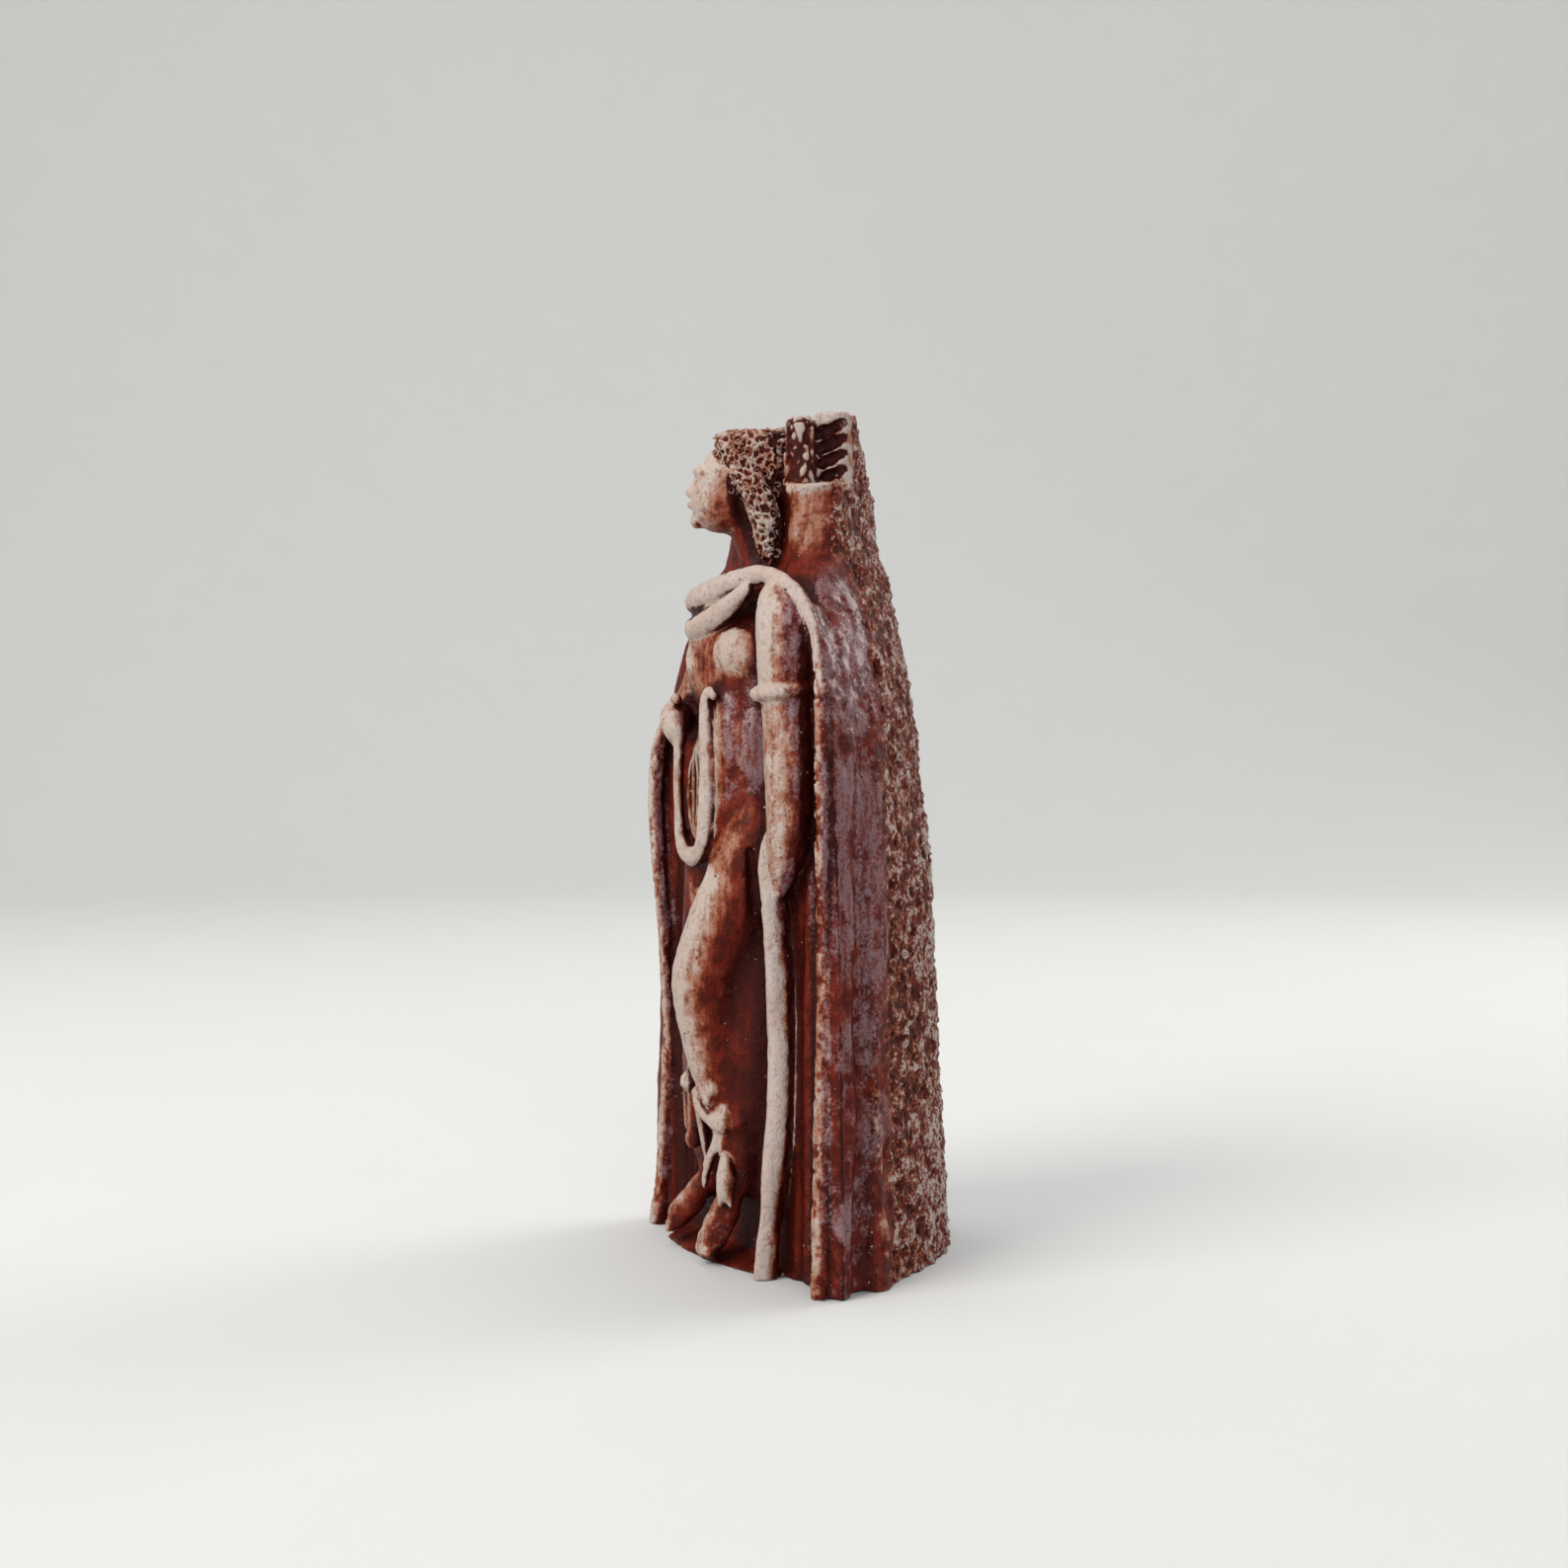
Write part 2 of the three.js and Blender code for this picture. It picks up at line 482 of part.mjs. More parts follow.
function quiver() {
  join(below(strand(QUIVER), QUIVER_RIM.centre[2], 0.3), 0.9);
  join(ring(QUIVER_RIM), 0.25);
  FLETCHINGS.forEach(({ centre: [x, y], half, deep, low, high }) => {
    const shaft = [[x, y, low, 1], [x, y, high - 0.9, 1]];
    join(below(strand(shaft, [deep, half, 1]), high, 0.5), 0.3);
  });
  SLOT_HEIGHTS.forEach((level) => carve(strand(SLOT.map(([x, y, z, r]) => [x, y, level + z, r])), 0.2));
}

cloak();
body();
rolls();
hemAndFeet();
quiver();
head();
hair();
arms();
lyre();

function boxGap(box, x, y, z) {
  const dx = Math.max(box.min.x - x, 0, x - box.max.x);
  const dy = Math.max(box.min.y - y, 0, y - box.max.y);
  const dz = Math.max(box.min.z - z, 0, z - box.max.z);
  return Math.hypot(dx, dy, dz);
}

// Distance from the whole figurine, with spare depth under its foot
function figurineDistance(x, y, z) {
  let d = column(x, y, z);
  forms.forEach((form) => {
    const gap = boxGap(form.box, x, y, z);
    if (form.cut) {
      if (gap < form.blend - d) d = softMax(d, -form.distance(x, y, z), form.blend);
    } else if (gap < form.blend + d) {
      d = softMin(d, form.distance(x, y, z), form.blend);
    }
  });
  return Math.max(d, -SPARE - z);
}

// Corners of a cell are numbered by bits x, y, z; six tetrahedra share the diagonal 0-7
const TETRAHEDRA = [[0, 1, 3, 7], [0, 5, 1, 7], [0, 3, 2, 7], [0, 2, 6, 7], [0, 4, 5, 7], [0, 6, 4, 7]];

// The closed surface where a distance function is zero
function surfaceOf(distance, low, high, step) {
  const counts = [0, 1, 2].map((k) => Math.ceil((high[k] - low[k]) / step) + 1);
  const [nx, ny, nz] = counts;
  const values = new Float64Array(nx * ny * nz);
  const cornerPoint = (id) => {
    const i = id % nx;
    const j = Math.floor(id / nx) % ny;
    const k = Math.floor(id / (nx * ny));
    return [low[0] + i * step, low[1] + j * step, low[2] + k * step];
  };
  for (let id = 0; id < values.length; id += 1) {
    const d = distance(...cornerPoint(id));
    values[id] = Math.abs(d) < LEAST_DISTANCE ? LEAST_DISTANCE : d;
  }
  const points = [];
  const faces = [];
  const known = new Map();
  const crossing = (a, b) => {
    const key = a < b ? a * values.length + b : b * values.length + a;
    let id = known.get(key);
    if (id === undefined) {
      const t = values[a] / (values[a] - values[b]);
      const p = cornerPoint(a);
      const q = cornerPoint(b);
      id = points.length;
      points.push(p.map((value, k) => value + t * (q[k] - value)));
      known.set(key, id);
    }
    return id;
  };
  // A tetrahedron's corners are in right-handed order; faces come out with their normals outward
  const walk = ([a, b, c, d]) => {
    const ids = [a, b, c, d];
    const inside = ids.filter((id) => values[id] < 0);
    const outside = ids.filter((id) => values[id] >= 0);
    if (inside.length === 0 || outside.length === 0) return;
    const order = [...inside, ...outside].map((id) => ids.indexOf(id));
    let swaps = 0;
    order.forEach((m, i) => order.slice(i + 1).forEach((n) => { swaps += n < m ? 1 : 0; }));
    const loop = [];
    if (inside.length === 1) outside.forEach((id) => loop.push(crossing(inside[0], id)));
    if (outside.length === 1) inside.forEach((id) => loop.push(crossing(id, outside[0])));
    if (inside.length === 2) {
      loop.push(crossing(inside[0], outside[0]), crossing(inside[0], outside[1]));
      loop.push(crossing(inside[1], outside[1]), crossing(inside[1], outside[0]));
    }
    if (swaps % 2 === 1) loop.reverse();
    for (let n = 2; n < loop.length; n += 1) faces.push([loop[0], loop[n - 1], loop[n]]);
  };
  const corners = [0, nx * ny].flatMap((level) => [level, level + 1, level + nx, level + nx + 1]);
  for (let k = 0; k < nz - 1; k += 1) {
    for (let j = 0; j < ny - 1; j += 1) {
      for (let i = 0; i < nx - 1; i += 1) {
        const first = (k * ny + j) * nx + i;
        const cell = corners.map((offset) => first + offset);
        const inside = cell.filter((id) => values[id] < 0).length;
        if (inside > 0 && inside < 8) TETRAHEDRA.forEach((tetra) => walk(tetra.map((m) => cell[m])));
      }
    }
  }
  return { points, faces };
}

// Every point moved toward the mean of its neighbours, which evens out the facets
function relax({ points, faces }, share) {
  const sums = points.map(() => [0, 0, 0, 0]);
  faces.forEach((face) => face.forEach((v, i) => {
    const next = points[face[(i + 1) % 3]];
    next.forEach((value, k) => { sums[v][k] += value; });
    sums[v][3] += 1;
  }));
  const moved = points.map((p, v) => p.map((value, k) => (
    sums[v][3] > 0 ? value + share * (sums[v][k] / sums[v][3] - value) : value)));
  return { points: moved, faces };
}

// Fewer facets by edge collapse: the edge that bends the surface least goes first
function simplify({ points, faces }, wanted) {
  const place = points.map((p) => p.slice());
  const alive = faces.map(() => true);
  const around = points.map(() => new Set());
  faces.forEach((face, f) => face.forEach((v) => around[v].add(f)));
  const areaVector = (a, b, c) => {
    const u = [b[0] - a[0], b[1] - a[1], b[2] - a[2]];
    const v = [c[0] - a[0], c[1] - a[1], c[2] - a[2]];
    return [u[1] * v[2] - u[2] * v[1], u[2] * v[0] - u[0] * v[2], u[0] * v[1] - u[1] * v[0]];
  };
  // Sum of squared distances from planes, as the ten numbers of a symmetric matrix
  const errors = points.map(() => new Float64Array(10));
  faces.forEach((face) => {
    const [a, b, c] = face.map((v) => place[v]);
    const n = areaVector(a, b, c);
    const size = Math.hypot(...n) || TINY;
    const [x, y, z] = n.map((value) => value / size);
    const w = -(x * a[0] + y * a[1] + z * a[2]);
    const terms = [x * x, x * y, x * z, x * w, y * y, y * z, y * w, z * z, z * w, w * w];
    face.forEach((v) => terms.forEach((term, i) => { errors[v][i] += term * size; }));
  });
  const errorAt = (q, [x, y, z]) => q[0] * x * x + 2 * q[1] * x * y + 2 * q[2] * x * z + 2 * q[3] * x
    + q[4] * y * y + 2 * q[5] * y * z + 2 * q[6] * y + q[7] * z * z + 2 * q[8] * z + q[9];
  // Places for the joined vertex, best first: the least error if it lies near the edge, then the edge itself
  const placesFor = (q, a, b) => {
    const middle = a.map((value, k) => (value + b[k]) / 2);
    const choices = [middle, a, b];
    const m = new THREE.Matrix3().set(q[0], q[1], q[2], q[1], q[4], q[5], q[2], q[5], q[7]);
    if (Math.abs(m.determinant()) > LEAST_CORNER * (q[0] + q[4] + q[7]) ** 3) {
      const solved = new THREE.Vector3(-q[3], -q[6], -q[8]).applyMatrix3(m.invert()).toArray();
      const length = Math.hypot(...a.map((value, k) => value - b[k]));
      const away = Math.hypot(...solved.map((value, k) => value - middle[k]));
      if (away < length) choices.push(solved);
    }
    return choices.map((p) => [errorAt(q, p), p]).sort((s, t) => s[0] - t[0]);
  };
  // Binary heap of [cost, from, to, stamp of from, stamp of to, places]
  const heap = [];
  const stamp = new Int32Array(points.length);
  const push = (item) => {
    let i = heap.length;
    heap.push(item);
    while (i > 0) {
      const up = (i - 1) >> 1;
      if (heap[up][0] <= item[0]) break;
      heap[i] = heap[up];
      i = up;
    }
    heap[i] = item;
  };
  const pop = () => {
    const top = heap[0];
    const last = heap.pop();
    let i = 0;
    while (heap.length > 0) {
      let down = 2 * i + 1;
      if (down + 1 < heap.length && heap[down + 1][0] < heap[down][0]) down += 1;
      if (down >= heap.length || heap[down][0] >= last[0]) break;
      heap[i] = heap[down];
      i = down;
    }
    if (heap.length > 0) heap[i] = last;
    return top;
  };
  const consider = (a, b) => {
    const sum = errors[a].map((value, i) => value + errors[b][i]);
    const length2 = place[a].reduce((total, value, k) => total + (value - place[b][k]) ** 2, 0);
    const places = placesFor(sum, place[a], place[b]);
    const cost = Math.max(places[0][0], 0) + LENGTH_WEIGHT * length2 * length2;
    push([cost, a, b, stamp[a], stamp[b], places.map(([, p]) => p)]);
  };
  const neighbours = (v) => {
    const out = new Set();
    around[v].forEach((f) => faces[f].forEach((w) => out.add(w)));
    out.delete(v);
    return out;
  };
  const fullness = (corners, size) => {
    const side = (a, b) => Math.hypot(a[0] - b[0], a[1] - b[1], a[2] - b[2]);
    const [a, b, c] = corners;
    return size / Math.max(side(a, b), side(b, c), side(c, a), TINY) ** 2;
  };
  // A facet may not turn over or grow thin; a crumb of a facet follows the vertex's whole ring
  const keepsShape = (v, gone, p) => {
    const ring = [0, 0, 0];
    around[v].forEach((f) => {
      areaVector(...faces[f].map((w) => place[w])).forEach((n, k) => { ring[k] += n; });
    });
    return [...around[v]].every((f) => {
      if (faces[f].includes(gone)) return true;
      const corners = faces[f].map((w) => place[w]);
      const moved = faces[f].map((w) => (w === v ? p : place[w]));
      const old = areaVector(...corners);
      const now = areaVector(...moved);
      const [oldSize, nowSize, ringSize] = [old, now, ring].map((n) => Math.hypot(...n) + TINY);
      const small = oldSize < CRUMB * ringSize;
      const guide = small ? ring : old;
      const guideSize = small ? ringSize : oldSize;
      const turn = (guide[0] * now[0] + guide[1] * now[1] + guide[2] * now[2]) / (nowSize * guideSize);
      const full = fullness(moved, nowSize);
      return turn > LEAST_TURN && (full > LEAST_SHAPE || full > fullness(corners, oldSize));
    });
  };
  const goodPlace = (a, b, places) => {
    const beside = neighbours(b);
    const common = [...neighbours(a)].filter((v) => beside.has(v));
    if (common.length !== 2) return undefined;
    return places.find((p) => keepsShape(a, b, p) && keepsShape(b, a, p));
  };
  const collapse = (a, b, p) => {
    [...around[a]].filter((f) => faces[f].includes(b)).forEach((f) => {
      alive[f] = false;
      faces[f].forEach((v) => around[v].delete(f));
    });
    around[b].forEach((f) => {
      faces[f] = faces[f].map((v) => (v === b ? a : v));
      around[a].add(f);
    });
    around[b].clear();
    place[a] = p;
    errors[a].forEach((value, i) => { errors[a][i] = value + errors[b][i]; });
    stamp[a] += 1;
    stamp[b] = -1;
  };
  // An edge that could not go may go in a later round
  let count = faces.length;
  for (let round = 0; round < ROUNDS && count > wanted; round += 1) {
    faces.forEach((face, f) => {
      if (alive[f]) face.forEach((u, i) => { if (u < face[(i + 1) % 3]) consider(u, face[(i + 1) % 3]); });
    });
    while (count > wanted && heap.length > 0) {
      const [, a, b, stampA, stampB, places] = pop();
      const fresh = stamp[a] === stampA && stamp[b] === stampB;
      const p = fresh ? goodPlace(a, b, places) : undefined;
      if (p) {
        collapse(a, b, p);
        count -= 2;
        neighbours(a).forEach((v) => consider(a, v));
      }
    }
  }
  return { points: place, faces: faces.filter((_, f) => alive[f]) };
}

// The largest of the closed shells, so that no loose crumb stays
function largestShell({ points, faces }) {
  const parent = points.map((_, i) => i);
  const rootOf = (start) => {
    let i = start;
    while (parent[i] !== i) {
      parent[i] = parent[parent[i]];
      i = parent[i];
    }
    return i;
  };
  faces.forEach(([a, b, c]) => {
    parent[rootOf(b)] = rootOf(a);
    parent[rootOf(c)] = rootOf(a);
  });
  const sizes = new Map();
  faces.forEach(([a]) => sizes.set(rootOf(a), (sizes.get(rootOf(a)) || 0) + 1));
  const [largest] = [...sizes].sort((p, q) => q[1] - p[1])[0];
  return { points, faces: faces.filter(([a]) => rootOf(a) === largest) };
}

const wasm = await Module();
wasm.setup();

function solidOf(vertProperties, triVerts) {
  const mesh = new wasm.Mesh({ numProp: 3, vertProperties, triVerts });
  return new wasm.Manifold(mesh);
}

// Only the used points, numbered again
function packed({ points, faces }) {
  const numbers = new Map();
  const flat = [];
  const triVerts = new Uint32Array(faces.flat().map((v) => {
    if (!numbers.has(v)) {
      numbers.set(v, numbers.size);
      flat.push(...points[v]);
    }
    return numbers.get(v);
  }));
  return solidOf(new Float32Array(flat), triVerts);
}

function boxSolid(width, depth, height, x, y, z) {
  const box = new THREE.BoxGeometry(width, depth, height).translate(x, y, z);
  box.deleteAttribute('normal');
  box.deleteAttribute('uv');
  const merged = mergeVertices(box);
  return solidOf(new Float32Array(merged.attributes.position.array), new Uint32Array(merged.index.array));
}

// Only what stands above the flat foot, with the origin under the middle of its outline
function standing(shell) {
  const room = boxSolid(2 * REACH, 2 * REACH, 2 * HEIGHT, 0, 0, HEIGHT);
  const { vertProperties, triVerts } = packed(shell).intersect(room).getMesh();
  const geometry = new THREE.BufferGeometry();
  geometry.setAttribute('position', new THREE.BufferAttribute(vertProperties, 3));
  geometry.setIndex(new THREE.BufferAttribute(triVerts, 1));
  geometry.computeBoundingBox();
  const middle = geometry.boundingBox.getCenter(new THREE.Vector3());
  geometry.translate(-middle.x, -middle.y, 0);
  geometry.computeVertexNormals();
  return geometry;
}

const room = [[-REACH, -REACH, -SPARE - STEP], [REACH, REACH, HEIGHT + 1]];
const shell = relax(largestShell(surfaceOf(figurineDistance, ...room, STEP)), RELAX);
const clay = new THREE.MeshStandardMaterial({ color: 0x8a4a3a, roughness: 0.72, metalness: 0 });
const figurine = new THREE.Mesh(standing(simplify(shell, FACETS)), clay);
figurine.name = 'figurine';

const model = new THREE.Group();
model.add(figurine);

export default model;
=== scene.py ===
import math

import bpy
import numpy as np
from bpy.props import FloatProperty, FloatVectorProperty, IntProperty, PointerProperty
from mathutils import Matrix, Vector


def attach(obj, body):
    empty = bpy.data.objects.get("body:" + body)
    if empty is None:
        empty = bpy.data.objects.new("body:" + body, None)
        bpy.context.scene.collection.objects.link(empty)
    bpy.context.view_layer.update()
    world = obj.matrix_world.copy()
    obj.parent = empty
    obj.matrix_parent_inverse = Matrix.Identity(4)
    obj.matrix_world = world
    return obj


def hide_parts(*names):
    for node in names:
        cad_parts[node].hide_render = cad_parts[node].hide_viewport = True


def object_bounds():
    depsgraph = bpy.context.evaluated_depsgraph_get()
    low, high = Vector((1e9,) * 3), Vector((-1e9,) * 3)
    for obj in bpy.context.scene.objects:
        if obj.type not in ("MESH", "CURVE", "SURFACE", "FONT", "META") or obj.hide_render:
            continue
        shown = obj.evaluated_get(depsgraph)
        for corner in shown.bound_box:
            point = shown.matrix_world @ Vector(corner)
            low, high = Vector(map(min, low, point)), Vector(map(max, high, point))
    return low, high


bl_info = {
    "name": "Cloaked figurine",
    "version": (1, 0, 0),
    "blender": (4, 5, 0),
    "location": "3D View > Sidebar > Figurine",
    "description": "Small fired clay figurine with a lyre and a quiver, and its stage",
    "category": "Add Mesh",
}

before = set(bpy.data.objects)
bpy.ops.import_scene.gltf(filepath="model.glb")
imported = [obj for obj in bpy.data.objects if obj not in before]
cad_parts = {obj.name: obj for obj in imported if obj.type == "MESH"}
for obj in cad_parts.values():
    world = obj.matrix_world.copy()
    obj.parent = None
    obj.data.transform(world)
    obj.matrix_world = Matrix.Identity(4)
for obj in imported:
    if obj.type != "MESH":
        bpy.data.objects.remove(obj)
CAD_BOX = [list(corner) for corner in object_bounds()]

# Lengths of the figurine are in millimetres in the drawing, whose origin is moved to the middle of the
# outline; rows are x, y, z and radius of a rounded strand unless a comment says otherwise
MM = 0.001
MIDDLE = (-0.0565, -0.9777)
HEIGHT = 94.5

# Cloaked column behind the figure: height, half width, back, middle and front of its plan
CLOAK_ROWS = [
    (-4, 19.4, 17.2, -9.3, -10.4), (0, 19.2, 17.0, -9.3, -10.4), (8, 18.9, 16.2, -9.3, -10.4),
    (20, 18.4, 15.5, -9.2, -10.2), (31, 18.0, 14.8, -9.2, -10.0), (43, 17.9, 14.0, -9.3, -10.3),
    (54, 17.6, 12.6, -9.3, -10.4), (61, 17.0, 11.6, -9.0, -10.2), (67, 15.6, 10.5, -8.6, -9.9),
    (71, 14.0, 9.8, -8.0, -9.4), (74.5, 12.0, 9.2, -7.0, -8.8), (77, 10.8, 8.8, -6.0, -8.2),
    (78.4, 9.6, 7.9, -5.4, -7.8), (84, 8.2, 7.2, -4.6, -7.4), (90, 7.4, 5.8, -4.4, -7.0),
    (98, 6.8, 3.6, -4.2, -6.8),
]
# How square the plan is behind and in front, then the cut of the top
CLOAK_POWER = 1.7
CLOAK_FRONT_POWER = 3.5
TOP_DROP, TOP_SLOPE, TOP_ROUND = 0.5, 0.14, 1.2

# Rolled edges of the cloak, the two rolls over the breast and the groove between them
LEFT_EDGE = [
    (6.8, -12.5, 75.9, 0.9), (9.4, -12.0, 75.5, 0.9), (11.5, -11.4, 74.4, 0.85), (13.3, -10.8, 72.8, 0.8),
    (14.8, -10.6, 70.5, 0.75), (16.0, -10.6, 67.6, 0.7), (17.1, -10.9, 63.0, 0.7), (17.8, -11.2, 55.0, 0.75),
    (17.8, -11.1, 44.0, 0.8), (17.2, -10.6, 32.0, 0.8), (17.4, -10.9, 20.0, 0.85), (18.0, -11.5, 9.0, 0.95),
    (18.2, -11.7, -3.0, 1.1),
]
RIGHT_EDGE = [
    (-8.6, -9.6, 75.0, 1.3), (-11.2, -8.2, 72.6, 1.2), (-12.6, -7.8, 68.6, 1.0), (-13.2, -9.3, 64.4, 0.9),
    (-14.3, -10.8, 61.6, 1.0), (-15.8, -11.5, 59.2, 1.0), (-17.0, -11.7, 56.0, 1.0),
    (-17.5, -11.6, 50.0, 1.0), (-17.2, -11.3, 42.0, 1.0), (-16.6, -10.6, 32.0, 1.0),
    (-16.6, -10.1, 22.0, 1.0), (-17.1, -10.5, 12.0, 1.0), (-17.6, -11.1, 3.0, 1.1),
    (-17.8, -11.4, -3.0, 1.2),
]
UPPER_ROLL = [
    (-9.4, -9.0, 74.4, 1.2), (-6.6, -12.0, 73.8, 1.6), (-3.4, -13.0, 74.0, 1.75), (0.8, -13.1, 74.8, 1.5),
    (4.0, -12.8, 75.5, 1.2), (7.4, -12.4, 75.8, 0.95),
]
LOWER_ROLL = [
    (-8.8, -9.4, 71.4, 1.1), (-6.4, -12.2, 70.8, 1.6), (-3.4, -13.1, 70.9, 1.75), (0.5, -13.5, 71.7, 1.5),
    (3.8, -13.6, 73.0, 1.1), (6.2, -13.3, 74.3, 0.75),
]
ROLL_GROOVE = [
    (-6.6, -13.6, 72.3, 0.4), (-3.4, -14.7, 72.4, 0.5), (0.6, -14.8, 73.2, 0.45),
    (4.0, -14.3, 74.4, 0.25),
]

# Folds and narrow grooves down the cloak's left side, mirrored on its right
SIDE_FOLDS = [
    [(13.4, -8.2, 69.0, 0.4), (15.6, -8.5, 62.0, 0.8), (17.2, -8.8, 50.0, 1.1), (17.6, -8.7, 32.0, 1.2),
     (18.1, -8.9, 14.0, 1.3), (18.6, -9.2, -3.0, 1.4)],
    [(14.4, -3.4, 62.0, 0.4), (16.2, -3.7, 50.0, 0.8), (17.1, -4.0, 32.0, 1.1), (17.8, -4.3, 14.0, 1.2),
     (18.2, -4.6, -3.0, 1.2)],
]
SIDE_GROOVES = [
    [(18.9, -6.2, 66.0, 0.7), (19.1, -6.0, 58.0, 1.2), (19.1, -6.7, 46.0, 1.4), (19.0, -6.1, 38.0, 1.2),
     (19.0, -6.6, 30.0, 1.4), (19.5, -6.3, 20.0, 1.3), (19.6, -7.0, 12.0, 1.4), (20.0, -7.4, -3.0, 1.4)],
    [(18.6, -2.6, 60.0, 0.6), (18.9, -2.2, 52.0, 0.9), (19.0, -3.0, 42.0, 1.1), (19.1, -2.6, 30.0, 1.2),
     (19.5, -3.3, 18.0, 1.5), (19.8, -2.8, 9.0, 1.5), (19.9, -1.8, 4.0, 1.3)],
]
# Lip behind the cloak's left edge
EDGE_LIP = [
    (13.4, -9.6, 71.6, 0.9), (15.2, -9.5, 67.6, 1.0), (16.3, -9.8, 63.0, 1.1), (16.9, -10.0, 55.0, 1.1),
    (16.9, -10.0, 44.0, 1.1), (16.4, -9.6, 32.0, 1.1), (16.7, -9.8, 20.0, 1.1), (17.3, -10.3, 8.0, 1.2),
    (17.6, -10.5, -3.0, 1.2),
]
# Low on the cloak's left side: a ragged ridge, how far it is drawn out sideways, and a glossy spot with a
# painted reflection
RIDGE = [
    (19.0, -4.3, 25.0, 0.05), (19.1, -4.9, 19.0, 0.12), (19.2, -4.4, 14.0, 0.2), (19.4, -4.7, 9.0, 0.2),
    (19.5, -3.9, 4.0, 0.25),
]
RIDGE_REACH = 4
GLOSS_AND_REFLECTION = (19.4, -9.2, 8.0, 2.0, 1.0, 2.2)

# Inside the cloak: upright folds at their x, y and radius, which sway and grow downward, the hollows beside
# the body, and the edge of cloth that hangs under the left hand, with its depth
INNER_FOLDS = [(-15.0, -9.0, 0.9), (-12.2, -8.4, 1.0), (-9.6, -8.6, 0.9)]
INNER_FOLD_HEIGHTS = (58.0, 40.0, 20.0, -2.0)
INNER_FOLD_SWAY, INNER_FOLD_START, INNER_FOLD_GROWTH = 0.5, 0.6, 0.2
LEFT_HOLLOW = [
    (14.0, -11.6, 67.0, 0.6), (14.6, -11.9, 60.0, 1.2), (14.5, -11.7, 48.0, 1.8), (13.7, -11.3, 32.0, 2.1),
    (13.8, -11.5, 16.0, 2.2), (14.0, -11.9, -6.0, 2.2),
]
RIGHT_HOLLOW = [
    (-11.6, -13.6, 57.6, 1.0), (-12.4, -12.4, 51.0, 2.4), (-12.2, -11.6, 38.0, 3.0),
    (-12.0, -11.2, 22.0, 3.2), (-12.2, -11.8, 3.4, 3.0),
]
LEFT_GROOVE = [
    (7.6, -13.8, 46.0, 0.4), (7.8, -13.0, 38.0, 0.8), (7.9, -12.4, 28.0, 1.0), (7.5, -12.4, 14.0, 1.3),
    (6.9, -12.8, 2.6, 1.3),
]
HANGING_EDGE = [
    (9.9, -11.4, 50.5, 0.3), (9.6, -12.5, 47.4, 0.5), (9.6, -12.7, 44.6, 0.7), (9.8, -12.2, 41.4, 0.9),
    (9.9, -11.7, 36.5, 1.0), (10.0, -11.3, 31.0, 1.05), (10.0, -11.0, 25.0, 1.1), (10.0, -11.0, 19.5, 1.1),
    (10.0, -11.4, 15.5, 1.05), (9.8, -11.9, 11.0, 1.0), (9.6, -12.2, 7.0, 0.9), (9.2, -12.6, 2.0, 0.95),
    (9.0, -12.7, -2.0, 1.0),
]
HANGING_DEPTH = 1.7
FAINT_FOLD = [
    (13.4, -9.6, 44.0, 0.5), (12.8, -9.2, 30.0, 0.8), (13.1, -9.3, 14.0, 0.9), (13.4, -9.7, -2.0, 0.9),
]

# Body and dress; rounded masses are a centre and three radii, and the chest and breasts are turned in degrees
CHEST = (0.0, -10.3, 66.6, 8.4, 3.9, 6.8)
BREASTS = [(3.4, -12.4, 67.5, 3.9, 1.9, 2.9), (-3.4, -12.3, 67.3, 3.6, 1.8, 2.9)]
CHEST_TURN = 9
BELLY = (0.4, -10.6, 57.0, 7.3, 3.9, 9.5)
BELLY_FOLD = [
    (1.9, -13.5, 48.6, 0.9), (2.4, -13.5, 53.0, 1.2), (2.4, -13.5, 58.0, 1.2), (2.0, -13.7, 62.4, 0.8),
]
HIPS = (0.2, -10.7, 47.0, 7.8, 3.7, 7.5)
SKIRT = [
    (-0.4, -10.4, 46.0, 2.7), (-1.2, -11.0, 30.0, 2.9), (-1.6, -11.2, 18.0, 2.8),
    (-1.8, -11.2, 12.8, 2.3),
]
SKIRT_WIDTH = 2.7
LEFT_LEG = [
    (5.4, -11.2, 48.5, 3.3), (3.6, -13.1, 41.5, 3.9), (1.0, -15.0, 34.0, 3.8), (0.4, -15.2, 29.5, 3.5),
    (0.9, -14.1, 22.0, 2.9), (1.7, -12.7, 15.5, 2.1), (2.4, -11.8, 9.0, 1.5),
]
DRESS_FOLDS = [
    [(-6.6, -12.4, 45.0, 0.5), (-3.0, -14.0, 40.0, 0.7), (-1.6, -14.3, 30.0, 0.7), (-2.0, -14.2, 16.0, 0.8)],
    [(-7.0, -12.2, 40.0, 0.5), (-5.4, -13.6, 34.0, 0.7), (-4.2, -14.0, 24.0, 0.8), (-4.4, -13.8, 13.5, 0.8)],
    [(-7.6, -11.8, 34.0, 0.5), (-7.2, -12.6, 26.0, 0.7), (-6.8, -12.9, 14.0, 0.8)],
    [(2.4, -14.6, 46.0, 0.4), (-0.6, -14.6, 41.6, 0.5), (-3.6, -13.8, 41.0, 0.4)],
]
RIGHT_LEG = [
    (-4.8, -10.6, 46.5, 3.5), (-5.0, -11.6, 32.0, 3.0), (-5.3, -11.4, 20.0, 2.4), (-5.6, -10.7, 8.0, 1.5),
]
LEFT_FOOT = [(2.4, -12.6, 8.8, 1.3), (2.0, -13.4, 6.2, 1.6), (1.4, -14.3, 3.8, 1.75), (0.8, -15.0, 1.8, 1.4)]
RIGHT_FOOT = [
    (-5.9, -11.4, 7.6, 1.2), (-6.7, -12.6, 5.6, 1.5), (-7.6, -13.6, 3.9, 1.5), (-8.3, -14.4, 2.5, 0.9),
]
